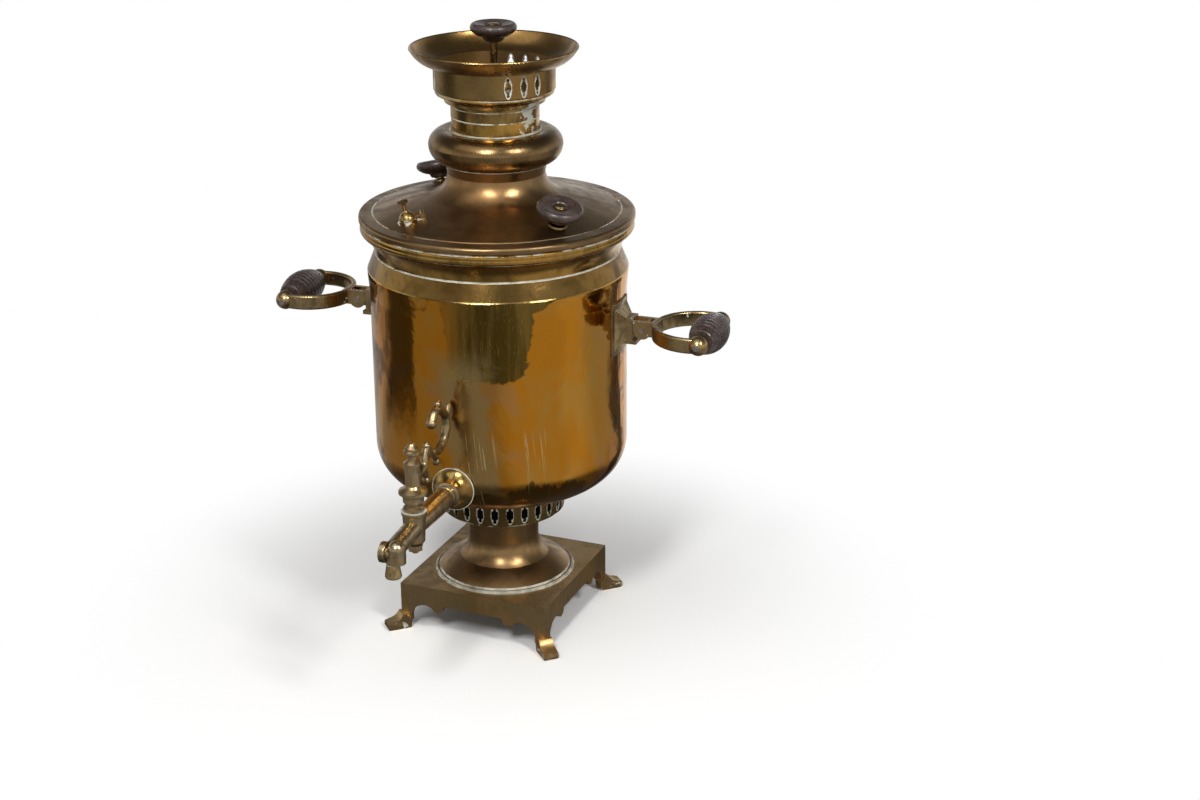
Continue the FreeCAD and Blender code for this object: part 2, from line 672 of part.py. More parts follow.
vent_frame = on_plate("$vent_place", "$vent_angle")
vent_hole = rod("vent_hole", "$vent_bore", 12, (0, 0, 0))
for axis in "xyz":
    vent_hole.setExpression("Placement.Base." + axis, None)
vent_hole.Placement = vent_frame.multiply(FreeCAD.Placement(FreeCAD.Vector(0, 0, -6), FreeCAD.Rotation()))
keep(cut("lid_shell", lid_wall(), vent_hole), "lid_shell")

keep(turned("lid_collar", [
    ("$lid_neck_radius + 0.4", "$collar_base"),
    ("$collar_inset", "$collar_base"),
    ("$collar_inset + 0.6", "$collar_base + 1", 15.7, -1),
    ("$collar_radius", "$collar_base + 0.59*$collar_height", 13.2, -1),
    ("$collar_inset - 2.2", "$collar_base + $collar_height"),
    ("$chimney_radius + $seat_gap + 0.2", "$collar_base + $collar_height"),
    ("$chimney_radius + $seat_gap + 0.2", "$collar_base + $collar_height - 1.3"),
    ("$collar_inset - 2.2", "$collar_base + $collar_height - 1.3", 11.9, 1),
    ("$collar_radius - 1.3", "$collar_base + 0.59*$collar_height", 14.4, 1),
    ("$collar_inset - 0.2", "$collar_base + 2.4"),
    ("$lid_neck_radius + 0.4", "$collar_base + 2.4"),
]), "lid_collar")


def knob_points(base):
    """The outline of a wooden knob: a small foot, a bun with a round rim and a dished top."""
    high = "%s + $knob_height" % base
    return [
        ("$spindle_radius - 0.7", base),
        ("$knob_foot + 0.4", base),
        ("$knob_foot + 1.6", base + " + 1.2"),
        ("$knob_foot + 2.6", base + " + 3.6", 18, -1),
        ("$knob_radius - 1.3", high + " - 7.2", 4.2, -1),
        ("$knob_radius - 0.9", high + " - 1.6", 3.2, -1),
        ("$knob_radius - 3.6", high + " - 0.1"),
        ("$knob_foot + 1.2", high + " - 1.8"),
        ("$knob_foot", high + " - 3.2"),
        ("$spindle_radius - 0.7", high + " - 3.2"),
    ]


def spindle_points(base, length):
    """A turned spindle: a flange, a stem, a bead under the knob and a thin shank through it."""
    bead = "%s + %s" % (base, length)
    return [
        (0, base),
        ("$knob_foot + 1.5", base),
        ("$knob_foot + 0.8", base + " + 1.4"),
        ("$spindle_radius", base + " + 2.2"),
        ("$spindle_radius", bead + " - 1.4"),
        ("$spindle_radius + 2.2", bead + " - 0.9"),
        ("$spindle_radius + 2.2", bead),
        ("$spindle_radius - 0.8", bead),
        ("$spindle_radius - 0.8", bead + " + $knob_height - 3.2"),
        (0, bead + " + $knob_height - 3.2"),
    ]


def nut_points(base):
    return [
        (0, base),
        ("$spindle_radius + 2.2", base),
        ("$spindle_radius + 2.2", base + " + 1.4"),
        ("$spindle_radius + 0.6", base + " + 2.6"),
        (0, base + " + 3"),
    ]


for name, turn_by in (("front", 0), ("back", 180)):
    frame = on_plate("$knob_place", "$knob_angle + %d" % turn_by)
    nut_base = "$lid_spindle_height + $knob_height - 3.2"
    for label, points in (("spindle", spindle_points("0.1", "$lid_spindle_height")),
                          ("knob", knob_points("$lid_spindle_height + 0.1")),
                          ("knob_nut", nut_points(nut_base + " + 0.1"))):
        piece = turned("lid_%s_%s" % (label, name), points)
        piece.Placement = frame
        keep(piece, "lid_%s_%s" % (label, name))


def vent_piece(piece, label):
    """Sets a piece drawn about the vent's own axis in its place on the lid."""
    doc.recompute()
    own = piece.Placement
    for path, rule in piece.ExpressionEngine:
        if "Placement" in path:
            piece.setExpression(path.lstrip("."), None)
    piece.Placement = vent_frame.multiply(own)
    return keep(piece, label)


# The vent's own frame has its hinge along +X, turned towards the neck of the lid.
VENT_HINGE_TURN = 62.0
vent_frame = vent_frame.multiply(
    FreeCAD.Placement(FreeCAD.Vector(0, 0, 0), FreeCAD.Rotation(FreeCAD.Vector(0, 0, 1), VENT_HINGE_TURN)))
vent_pin_height = "$vent_seat_height + 1.2"
seat = turned("vent_seat_turned", [
    ("$vent_bore", 0.05),
    ("$vent_radius + 1.6", 0.05),
    ("$vent_radius + 1.6", 1.2),
    ("$vent_radius - 1", 1.6),
    ("$vent_radius - 1", "$vent_seat_height"),
    ("$vent_bore", "$vent_seat_height"),
])
ear_parts = [seat, block("vent_bridge", "$vent_hinge_reach - $vent_radius + 2.6", 7, 1.1,
                         ("$vent_radius", -3.5, 0.05))]
for side in (-1, 1):
    low = "%g*2.75 - 0.75" % side
    ear_parts.append(block("vent_ear_%d" % side, 4.4, 1.5, vent_pin_height,
                           ("$vent_hinge_reach - 2.2", low, 0.1)))
    ear_parts.append(rod("vent_ear_round_%d" % side, 2.2, 1.5,
                         ("$vent_hinge_reach", low, vent_pin_height), ALONG_Y))
vent_ears = fuse("vent_ears", *ear_parts)
pin_hole = rod("vent_pin_hole", "$vent_pin_radius", 10, ("$vent_hinge_reach", -5, vent_pin_height), ALONG_Y)
vent_piece(cut("vent_seat", vent_ears, pin_hole), "vent_seat")
vent_piece(rod("vent_pin", "$vent_pin_radius", 8, ("$vent_hinge_reach", -4, vent_pin_height), ALONG_Y),
           "vent_pin")
cap_base = "$vent_seat_height + $seat_gap"
dome = turned("vent_dome", [
    (0, cap_base),
    ("$vent_radius", cap_base),
    ("$vent_radius", cap_base + " + 1.4", 10, -1),
    (2.4, cap_base + " + $vent_cap_height*0.34"),
    (1.6, cap_base + " + $vent_cap_height*0.44"),
    (1.6, cap_base + " + $vent_cap_height*0.72"),
    (2.8, cap_base + " + $vent_cap_height*0.78"),
    (4.4, cap_base + " + $vent_cap_height*0.84"),
    (4.4, cap_base + " + $vent_cap_height*0.92"),
    (0, cap_base + " + $vent_cap_height"),
])
knuckle = rod("vent_knuckle", 2.1, 3.4, ("$vent_hinge_reach", -1.7, vent_pin_height), ALONG_Y)
link = block("vent_link", "$vent_hinge_reach - $vent_radius + 2", 3.4, 1.6,
             ("$vent_radius - 2", -1.7, cap_base))
knuckle_hole = rod("vent_knuckle_hole", "$vent_pin_radius + 0.06", 6,
                   ("$vent_hinge_reach", -3, vent_pin_height), ALONG_Y)
vent_piece(cut("vent_cap", fuse("vent_cap_solid", dome, link, knuckle), knuckle_hole), "vent_cap")


# Crown, and the cap that closes the chimney in it

tube_inside = "$chimney_radius - $tube_wall"
keep(turned("crown_spigot", [
    ("$spigot_radius - 1.2", "$chimney_top - $spigot_depth"),
    ("$spigot_radius", "$chimney_top - $spigot_depth"),
    ("$spigot_radius", "$chimney_top"),
    ("$spigot_radius - 1.2", "$chimney_top"),
]), "crown_spigot")
keep(turned("crown_neck", [
    ("$spigot_radius - 1.2", "$chimney_top"),
    ("$chimney_radius + 0.3", "$chimney_top"),
    ("$chimney_radius + 0.3", "$crown_step - 3.2"),
    ("$crown_ledge_radius - 1", "$crown_step - 1.4"),
    ("$crown_ledge_radius", "$crown_step + 1.4"),
    ("$crown_ledge_radius + 1.4", "$crown_step + 3"),
    ("$crown_radius - 1.8", "$crown_band_base - 3.4"),
    ("$crown_radius - 1.2", "$crown_band_base - 2.4"),
    ("$crown_radius - 1.8", "$crown_band_base"),
    ("$crown_radius - 3.2", "$crown_band_base"),
    ("$crown_radius - 3.2", "$crown_band_base - 2.4"),
    ("$crown_ledge_radius", "$crown_step + 4"),
    ("$crown_ledge_radius - 1.3", "$crown_step"),
    (tube_inside + " + 0.3", "$crown_step"),
    (tube_inside + " + 0.3", "$chimney_top + 1.3"),
    ("$spigot_radius - 1.2", "$chimney_top + 1.3"),
]), "crown_neck")


def crown_band():
    base = "$crown_band_base"
    top = "$crown_band_base + $crown_band_height"
    high = top + " + $crown_rise"
    wall = 1.3
    body = turned("crown_band", [
        ("$crown_radius - 3.2", base),
        ("$crown_radius - 0.6", base),
        ("$crown_radius", base + " + 0.8"),
        ("$crown_radius", top, 25, -1),
        ("$crown_rim_radius - 0.5", high + " - 0.9"),
        ("$crown_rim_radius", high + " - 0.4", 1.3, -1),
        ("$crown_rim_radius - 0.7", high + " + 0.9"),
        ("$crown_rim_radius - 2.2", high + " + 0.3", 25, 1),
        ("$crown_radius - %g" % wall, top + " + 0.8"),
        ("$crown_radius - %g" % wall, base + " + 1.4"),
        ("$crown_radius - 3.2", base + " + 1.4"),
    ])
    middle = base + " + $crown_band_height/2"
    outline = slot_outline(middle, "$crown_slot_height", "$crown_slot_width", "$crown_slot_lobe",
                           "0.08*$crown_slot_height")
    slots = []
    for number in (-1, 0, 1):
        angle = "$crown_slot_start + %d*$crown_slot_pitch" % number
        turn = FreeCAD.Rotation(FreeCAD.Vector(0, 1, 0), size(angle))
        sketch = new_sketch(body, "crown_slot_%d" % (number + 1), "XZ_Plane", outline,
                            FreeCAD.Placement(FreeCAD.Vector(0, 0, 0), turn))
        sketch.setExpression("AttachmentOffset.Rotation.Angle", bound(angle))
        slots.append(pocket(body, sketch, "crown_slot_cut_%d" % (number + 1), both=False))
    around(body, slots, 3, "crown_slot_groups")
    return keep(body, "crown_band")


crown_band()

keep(turned("chimney_cap", [
    ("$spindle_radius - 0.6", "$crown_step + $cap_rise"),
    ("$knob_foot + 1.5", "$crown_step + $cap_rise"),
    ("$cap_radius - 3", "$crown_step + 1.8"),
    ("$cap_radius", "$crown_step + 1.6"),
    ("$cap_radius", "$crown_step"),
    ("$cap_radius - 3.4", "$crown_step"),
    ("$knob_foot + 1.2", "$crown_step + $cap_rise - 1.5"),
    ("$spindle_radius - 0.6", "$crown_step + $cap_rise - 1.5"),
]), "chimney_cap")
cap_top = "$crown_step + $cap_rise"
keep(turned("cap_spindle", spindle_points(cap_top, "$cap_knob_base - (%s)" % cap_top)), "cap_spindle")
keep(turned("cap_knob", knob_points("$cap_knob_base")), "cap_knob")
keep(turned("cap_knob_nut", nut_points("$cap_knob_base + $knob_height - 3.2")), "cap_knob_nut")


# Handles: the right one is drawn, and the left one is the same turned half round

def handle(side, turn_by):
    middle = "$handle_height"
    inner = "($pin_reach - $ear_radius - $seat_gap)"
    half_arm = "$arm_width/2"

    def named(text):
        return "%s_%s" % (text, side)

    def placed(piece, label):
        spin = FreeCAD.Rotation(FreeCAD.Vector(0, 0, 1), turn_by)
        piece.Placement = FreeCAD.Placement(FreeCAD.Vector(0, 0, 0), spin).multiply(piece.Placement)
        for path, rule in piece.ExpressionEngine:
            if turn_by and path.endswith(("Placement.Base.x", "Placement.Base.y")):
                piece.setExpression(path.lstrip("."), "-(%s)" % rule)
        return keep(piece, label)

    # bracket: a curved plate, a pyramid, the arm's root with its lip, and the middle ear
    sheet_block = block(named("plate_block"), "14", "$plate_width", "$plate_height",
                        ("$body_radius + $plate_thickness - 12", "-$plate_width/2",
                         middle + " - $plate_height/2"))
    bend = rod(named("plate_bend"), "$body_radius + $plate_thickness", "$plate_height + 2",
               (0, 0, middle + " - $plate_height/2 - 1"))
    plate = common(named("plate"), sheet_block, bend)
    pyramid = primitive("Wedge", named("pyramid"), {
        "Xmin": "-$plate_height/2 + 2", "Xmax": "$plate_height/2 - 2",
        "Zmin": "-$plate_width/2 + 2", "Zmax": "$plate_width/2 - 2",
        "X2min": "-$arm_height/2", "X2max": "$arm_height/2",
        "Z2min": "-" + half_arm, "Z2max": half_arm,
        "Ymin": 0, "Ymax": "%s - 6 - $body_radius + 1.6" % inner,
    }, ("$body_radius - 1.6", 0, middle))
    lying = FreeCAD.Matrix(0, 1, 0, 0, 0, 0, 1, 0, 1, 0, 0, 0, 0, 0, 0, 1)
    pyramid.Placement.Rotation = FreeCAD.Rotation(lying)
    root = block(named("arm_root"), "%s - $body_radius - 1" % inner, "$arm_width", "$arm_height",
                 ("$body_radius + 1", "-" + half_arm, middle + " - $arm_height/2"))
    lip = block(named("arm_lip"), "%s + 3 - $body_radius - 1" % inner, "$arm_width", "3.4",
                ("$body_radius + 1", "-" + half_arm, middle + " - $arm_height/2 - 3.4"))
    tongue = block(named("tongue"), "$pin_reach - %s + 1" % inner, "$tongue_width", "13",
                   (inner + " - 1", "-$tongue_width/2", middle + " - 6.5"))
    tongue_end = rod(named("tongue_end"), 6.5, "$tongue_width",
                     ("$pin_reach", "-$tongue_width/2", middle), ALONG_Y)
    solid = fuse(named("bracket_solid"), plate, pyramid, root, lip, tongue, tongue_end)
    body_core = rod(named("body_core"), "$body_radius + 0.05", "$plate_height + 20",
                    (0, 0, middle + " - $plate_height/2 - 10"))
    pin_hole = rod(named("bracket_pin_hole"), "$pin_radius", "$arm_width",
                   ("$pin_reach", "-" + half_arm, middle), ALONG_Y)
    tools = fuse(named("bracket_tools"), body_core, pin_hole)
    placed(cut(named("handle_bracket"), solid, tools), named("handle_bracket"))
    placed(rod(named("handle_pin"), "$pin_radius", "$arm_width + 1.2",
               ("$pin_reach", "-$arm_width/2 - 0.6", middle), ALONG_Y), named("handle_pin"))

    # loop: a ring cut off at the grip, ball ends, and the fork about the middle ear
    centre = "$pin_reach + $ear_radius + 0.4 + $loop_radius"
    loop_middle = middle + " + $loop_lift"
    low = loop_middle + " - $loop_height/2"
    ring = rod(named("ring"), "$loop_radius", "$loop_height", (centre, 0, low))
    ring_inside = rod(named("ring_inside"), "$loop_radius - $loop_thickness", "$loop_height",
                      (centre, 0, low))
    beyond = block(named("beyond"), "$loop_radius", "2*$loop_radius + 2", "$loop_height + 2",
                   ("$grip_reach", "-$loop_radius - 1", low + " - 1"))
    band = cut(named("band"), ring, ring_inside)
    rim = doc.addObject("Part::Fillet", named("band_rim"))
    rim.Base = band
    doc.recompute()
    rim.Edges = [(number, 1.9, 1.9) for number, edge in enumerate(band.Shape.Edges, start=1)
                 if isinstance(edge.Curve, Part.Circle)]
    strap = cut(named("strap"), rim, beyond)
    seat_y = "$grip_length/2 + $seat_gap"
    ball_y = seat_y + " + $ball_radius - 0.3"
    balls = [ball(named("ball_" + end), "$ball_radius", ("$grip_reach", sign + "(%s)" % ball_y, loop_middle))
             for end, sign in (("front", "-"), ("back", ""))]
    fork = []
    for end, low_y in (("front", "-" + half_arm), ("back", "$tongue_width/2 + $seat_gap")):
        thick = "%s - $tongue_width/2 - $seat_gap" % half_arm
        fork.append(rod(named("ear_" + end), "$ear_radius", thick, ("$pin_reach", low_y, middle), ALONG_Y))
        fork.append(block(named("cheek_" + end), "$ear_radius + 3.7", thick,
                          "$loop_height/2 + $ear_radius - $loop_lift",
                          ("$pin_reach", low_y, low)))
        fork.append(block(named("stop_" + end), "$ear_radius", thick, "$ear_radius",
                          ("$pin_reach - $ear_radius", low_y, middle)))
    joint_block = block(named("fork_root"), "6", "$arm_width", "$loop_height/2 + $ear_radius - $loop_lift",
                        ("$pin_reach + $ear_radius + 0.2", "-" + half_arm, low))
    loop_solid = fuse(named("loop_solid"), strap, joint_block, *balls, *fork)
    rod_hole = rod(named("rod_hole"), "$rod_radius + 0.02", "2*(%s) + 2*$ball_radius" % ball_y,
                   ("$grip_reach", "-(%s) - $ball_radius" % ball_y, loop_middle), ALONG_Y)
    fork_hole = rod(named("fork_hole"), "$pin_radius + 0.05", "$arm_width + 2",
                    ("$pin_reach", "-$arm_width/2 - 1", middle), ALONG_Y)
    flat_front = block(named("ball_room"), "4*$ball_radius", "$grip_length + 2*$seat_gap",
                       "4*$ball_radius",
                       ("$grip_reach - 2*$ball_radius", "-(%s)" % seat_y, loop_middle + " - 2*$ball_radius"))
    cavity = rod(named("inside_room"), "$loop_radius - $loop_thickness", "4*$ball_radius",
                 (centre, 0, middle + " - 2*$ball_radius"))
    flat_cut = common(named("ball_flats"), flat_front, cavity)
    tools = fuse(named("loop_tools"), rod_hole, fork_hole, flat_cut)
    placed(cut(named("handle_loop"), loop_solid, tools), named("handle_loop"))
    placed(rod(named("grip_rod"), "$rod_radius", "2*(%s) + 2*$ball_radius - 0.4" % ball_y,
               ("$grip_reach", "-(%s) - $ball_radius + 0.2" % ball_y, loop_middle), ALONG_Y),
           named("grip_rod"))
    grip = turned(named("handle_grip"), grip_points())
    grip.Placement = FreeCAD.Placement(
        FreeCAD.Vector(size("$grip_reach"), 0, size(loop_middle)),
        FreeCAD.Rotation(FreeCAD.Vector(1, 0, 0), -90))
    placed(grip, named("handle_grip"))


def grip_points():
    """A barrel grip with round-bottomed grooves, from end to end of its length."""
    half = size("$grip_length") / 2
    fat = size("$grip_radius")
    thin = size("$grip_end_radius")
    count = int(size("$grip_grooves"))
    plain = 0.28 * half
    depth = 0.1 * fat

    def barrel(place):
        return thin + (fat - thin) * math.cos(math.pi / 2 * place / half)

    bore = size("$rod_radius") + 0.1
    points = [(bore, -half), (thin - 0.8, -half), (thin, -half + 0.8), (barrel(plain - half), plain - half)]
    step = 2 * (half - plain) / count
    for number in range(count):
        start = plain - half + number * step
        points.append((barrel(start + step * 0.18) - depth, start + step * 0.18))
        points.append((barrel(start + step * 0.38) - depth, start + step * 0.38))
        points.append((barrel(start + step * 0.56), start + step * 0.56))
        points.append((barrel(start + step), start + step))
    points += [(thin, half - 0.8), (thin - 0.8, half), (bore, half)]
    return points


for side, turn_by in (("right", 0), ("left", 180)):
    handle(side, turn_by)


# Tap: rosette, body with barrel and spout, nozzle, key, lever, and the nuts

def facing_tap(piece):
    """Lays a piece turned about Z along -Y at the tap's height."""
    spot = FreeCAD.Vector(0, 0, size("$tap_height"))
    piece.Placement = FreeCAD.Placement(spot, FreeCAD.Rotation(FreeCAD.Vector(1, 0, 0), 90))
    piece.setExpression("Placement.Base.z", bound("$tap_height"))
    return piece


wall_face = "$body_radius"
throat = wall_face + " + $rosette_depth"
keep(facing_tap(turned("tap_rosette", [
    ("$tube_radius + 0.1", throat),
    ("$tube_radius + 1.4", throat, 14, -1),
    ("$rosette_radius", wall_face + " + 1.3"),
    ("$rosette_radius", wall_face + " + 0.1"),
    ("$rosette_radius - 1.4", wall_face + " + 0.1", 15, 1),
    ("$tube_radius + 0.1", throat + " - 1.6"),
])), "tap_rosette")

tube = facing_tap(turned("tap_tube", [
    (0, wall_face + " - $shank_length"),
    ("$shank_radius", wall_face + " - $shank_length"),
    ("$shank_radius", wall_face + " + 1"),
    ("$tube_radius", wall_face + " + 4"),
    ("$tube_radius", throat + " + 0.2"),
    ("$tube_radius + 1.6", throat + " + 0.2"),
    ("$tube_radius + 1.6", throat + " + 2.2"),
    ("$tube_radius - 0.6", throat + " + 3"),
    ("$tube_radius - 0.6", throat + " + 6"),
    ("$tube_radius", throat + " + 6.6"),
    ("$tube_radius", throat + " + 8.2"),
    ("$tube_radius - 0.6", throat + " + 8.8"),
    ("$tube_radius - 0.6", throat + " + 20"),
    ("$tube_radius + 0.2", throat + " + 20.6"),
    ("$tube_radius + 0.2", throat + " + 22.4"),
    ("$tube_end_radius", "$tap_reach"),
    (0, "$tap_reach"),
]))
barrel_top = "$tap_height + $barrel_top"
barrel_foot = "$tap_height - $barrel_drop"
barrel = turned("tap_barrel", [
    (0, barrel_foot),
    ("$barrel_foot_radius - 2", barrel_foot),
    ("$barrel_foot_radius", barrel_foot + " + 3"),
    ("$barrel_radius", barrel_top + " - 4"),
    ("$barrel_radius + 0.9", barrel_top + " - 3"),
    ("$barrel_radius + 0.9", barrel_top),
    (0, barrel_top),
])
barrel.setExpression("Placement.Base.y", bound("-$tap_reach"))
spout_turn = (1, 0, 0, "90 + $spout_slope")
head = "$tap_height - $spout_drop"
front = rod("spout_tube", "$spout_radius", "$spout_reach - $tap_reach - 3",
            (0, "-$tap_reach", "$tap_height"), spout_turn)
core = rod("spout_core", "$nozzle_radius + 0.3", "$nozzle_top - $spout_drop + 4",
           (0, "-$spout_reach", "$tap_height - $nozzle_top"))
axle = rod("spout_axle", "$cheek_radius - 3", "$cheek_gap + 1",
           ("-$cheek_gap/2 - 0.5", "-$spout_reach", head), ALONG_X)
disc = rod("cheek_disc", "$cheek_radius", "$cheek_thickness",
           ("-$cheek_gap/2 - $cheek_thickness", "-$spout_reach", head), ALONG_X)
cheek = doc.addObject("Part::Fillet", "cheek")
cheek.Base = disc
doc.recompute()
cheek.Edges = [(1, 1.2, 1.2), (3, 1.2, 1.2)]
beak_height = "$nozzle_top - 1.6"
beak = rod("beak", "$beak_radius", beak_height,
           ("$beak_shift", "-$spout_reach + 0.6", "$tap_height - $nozzle_top + 0.4"))
beak_top = ball("beak_top", "$beak_radius", ("$beak_shift", "-$spout_reach + 0.6", "$tap_height - 1.2"))
tap_solid = fuse("tap_solid", tube, barrel, front, core, axle, cheek, beak, beak_top)
way = rod("water_way", "$water_bore", "$tap_reach - $body_radius + $shank_length + 1",
          (0, "-$body_radius + $shank_length + 1", "$tap_height"), TOWARDS_TAP)
way_front = rod("water_way_front", "$water_bore - 0.5", "$spout_reach - $tap_reach - 1",
                (0, "-$tap_reach", "$tap_height"), spout_turn)
drop = rod("water_drop", "$water_bore - 0.6", "$nozzle_top - $spout_drop + 2.5",
           (0, "-$spout_reach", "$tap_height - $nozzle_top - 1"))
plug_seat = primitive("Cone", "plug_seat", {
    "Radius1": "$plug_foot_radius + $plug_clearance", "Radius2": "$plug_radius + $plug_clearance",
    "Height": "$barrel_top + $barrel_drop"}, (0, "-$tap_reach", barrel_foot))
tap_bores = fuse("tap_bores", way, way_front, drop, plug_seat)
keep(cut("tap_body", tap_solid, tap_bores), "tap_body")

nozzle = turned("tap_nozzle", [
    ("$nozzle_radius - 1.4", "$tap_height - $nozzle_top"),
    ("$nozzle_radius", "$tap_height - $nozzle_top"),
    ("$nozzle_foot_radius", "$tap_height - $nozzle_top - $nozzle_length + 1"),
    ("$nozzle_foot_radius - 0.5", "$tap_height - $nozzle_top - $nozzle_length"),
    ("$nozzle_foot_radius - 1.2", "$tap_height - $nozzle_top - $nozzle_length"),
])
nozzle.setExpression("Placement.Base.y", bound("-$spout_reach"))
keep(nozzle, "tap_nozzle")

key_foot = barrel_foot + " - 8"
key = turned("tap_key_turned", [
    (0, key_foot),
    (2.6, key_foot),
    (2.6, barrel_foot),
    ("$plug_foot_radius", barrel_foot),
    ("$plug_radius", barrel_top),
    ("$barrel_radius - 1", barrel_top + " + $seat_gap"),
    ("$barrel_radius - 1", barrel_top + " + 3"),
    ("$barrel_radius - 2.6", barrel_top + " + 4"),
    ("$barrel_radius - 2.6", barrel_top + " + 6.4"),
    ("$barrel_radius - 1", barrel_top + " + 8"),
    ("$barrel_radius - 1", barrel_top + " + 10.5"),
    ("$flange_radius - 3", barrel_top + " + $flange_height - 3"),
    ("$flange_radius", barrel_top + " + $flange_height - 1"),
    ("$flange_radius", barrel_top + " + $flange_height + 1.4"),
    ("$flange_radius - 4.6", barrel_top + " + $flange_height + 4"),
    ("$column_radius", barrel_top + " + $flange_height + 6"),
    ("$column_radius", barrel_top + " + $key_height - 20.5"),
    ("$column_radius + 0.8", barrel_top + " + $key_height - 20"),
    ("$column_radius + 0.8", barrel_top + " + $key_height - 18"),
    ("$column_radius - 2.4", barrel_top + " + $key_height - 15.5"),
    ("$column_radius - 2.4", barrel_top + " + $key_height - 12"),
    ("$column_radius + 0.7", barrel_top + " + $key_height - 9.8"),
    ("$column_radius + 0.7", barrel_top + " + $key_height - 7.8"),
    ("$column_radius - 0.8", barrel_top + " + $key_height - 6.8"),
    ("$column_radius - 0.6", barrel_top + " + $key_height - 5"),
    ("$column_radius - 2.6", barrel_top + " + $key_height - 3"),
    (2.6, barrel_top + " + $key_height - 1.2"),
    (0, barrel_top + " + $key_height"),
])
key.setExpression("Placement.Base.y", bound("-$tap_reach"))
key_way = rod("key_way", "$water_bore - 0.5", "4*$plug_radius",
              ("-2*$plug_radius", "-$tap_reach", "$tap_height"), ALONG_X)
lever_slot = block("lever_slot", "4", "$column_radius + 2", "12",
                   (-2, "-$tap_reach + 1", "%s + $flange_height + 13" % barrel_top))
keep(cut("tap_key", key, fuse("key_tools", key_way, lever_slot)), "tap_key")


def rounded_path(points, radius):
    """A wire of straight runs in the tap's plane, with a tangent arc at each inner point."""
    vectors = [FreeCAD.Vector(0, y, z) for y, z in points]
    edges = []
    start = vectors[0]
    for before, corner, after in zip(vectors, vectors[1:], vectors[2:]):
        arriving = (corner - before).normalize()
        leaving = (after - corner).normalize()
        turn = arriving.getAngle(leaving)
        reach = min(radius * math.tan(turn / 2), 0.45 * (corner - before).Length,
                    0.45 * (after - corner).Length)
        first = corner - arriving * reach
        last = corner + leaving * reach
        sag = (leaving - arriving).normalize()
        distance = reach / math.tan(turn / 2)
        centre = corner + sag * math.hypot(distance, reach)
        middle = centre - sag * distance
        edges.append(Part.LineSegment(start, first).toShape())
        edges.append(Part.Arc(first, middle, last).toShape())
        start = last
    edges.append(Part.LineSegment(start, vectors[-1]).toShape())
    return Part.Wire(edges)


def bar(points, radius, bend):
    """A round bar along a rounded path."""
    path = rounded_path(points, bend)
    heading = FreeCAD.Vector(0, points[1][0] - points[0][0], points[1][1] - points[0][1])
    start = FreeCAD.Vector(0, points[0][0], points[0][1])
    ring = Part.Wire(Part.Circle(start, heading, radius).toShape())
    return path.makePipeShell([ring], True, True)


def lever():
    """The cast lever: a stem with a ball, a rising bar that ends in a bud, an upper arm that curls
    over to a ball, a leaf, a crest and a hanging drop."""
    axis = -size("$tap_reach")
    base = size("$tap_height + $barrel_top")
    main = size("$lever_bar")
    thin = size("$lever_thin")
    end = size("$lever_ball")

    def at(reach, height):
        return (axis + reach, base + height)

    def sphere(reach, height, radius):
        y, z = at(reach, height)
        return Part.makeSphere(radius, FreeCAD.Vector(0, y, z))

    stem = [at(1.6, 36), at(11, 26), at(22, 31), at(30, 44)]
    rise = [at(24, 38), at(38, 36.5), at(50, 31.5), at(64, 36), at(72, 47)]
    trunk = [at(66, 38), at(71.5, 49), at(70, 58), at(60, 67), at(48, 70), at(41, 62)]
    leaf = [at(70, 54), at(74, 58.5), at(76.5, 63)]
    crest = [at(55, 66), at(55, 73)]
    drop = [at(44, 32), at(48, 26)]
    curl = [at(14, 33), at(23.5, 27), at(27, 19)]
    pieces = [
        bar(stem, main, 9), bar(rise, main, 16), bar(trunk, main, 9),
        bar(leaf, thin, 6), bar(crest, thin, 4), bar(drop, thin * 0.8, 4), bar(curl, thin, 8),
        sphere(30, 45, end * 0.85), sphere(72, 47, main * 1.12), sphere(41, 61, end),
        sphere(48.6, 24, end * 0.8), sphere(55, 73, end * 0.75), sphere(76.5, 63, thin * 1.02),
        sphere(26.5, 16, end * 0.8),
    ]
    solid = pieces[0].multiFuse(pieces[1:])
    tongue = Part.makeBox(3.8, 10, 11.6, FreeCAD.Vector(-1.9, axis + 1.2, size(
        "%s + $flange_height + 13.2" % barrel_top)))
    solid = solid.fuse(tongue)
    room = Part.makeCylinder(size("$column_radius") + 0.05, 80, FreeCAD.Vector(0, axis, base))
    slot = Part.makeBox(3.8, size("$column_radius") + 3, 11.6, FreeCAD.Vector(-1.9, axis + 1.2, size(
        "%s + $flange_height + 13.2" % barrel_top)))
    return solid.cut(room.cut(slot)).removeSplitter()


lever_piece = doc.addObject("Part::Feature", "tap_lever")
lever_piece.Shape = lever()
keep(lever_piece, "tap_lever")

washer = turned("tap_washer", [
    (2.7, barrel_foot + " - 1.5"),
    ("$barrel_foot_radius - 2.2", barrel_foot + " - 1.5"),
    ("$barrel_foot_radius - 2.2", barrel_foot + " - $seat_gap"),
    (2.7, barrel_foot + " - $seat_gap"),
])
washer.setExpression("Placement.Base.y", bound("-$tap_reach"))
keep(washer, "tap_washer")
hex_nut("tap_nut", "13", "4", "2.65", (0, "-$tap_reach", barrel_foot + " - 5.5"))
nut_face = "($body_radius - $wall - $gasket_depth)"
hex_nut("tap_locknut", "$locknut_across", "$locknut_height", "$shank_radius + 0.05",
        (0, "-(%s - $locknut_height)" % nut_face, "$tap_height"), TOWARDS_TAP)
gasket_disc = rod("gasket_disc", "$locknut_across/2", "$gasket_depth + 1",
                  (0, "-" + nut_face, "$tap_height"), TOWARDS_TAP)
gasket_hole = rod("gasket_hole", "$shank_radius + 0.05", "$gasket_depth + 1",
                  (0, "-" + nut_face, "$tap_height"), TOWARDS_TAP)
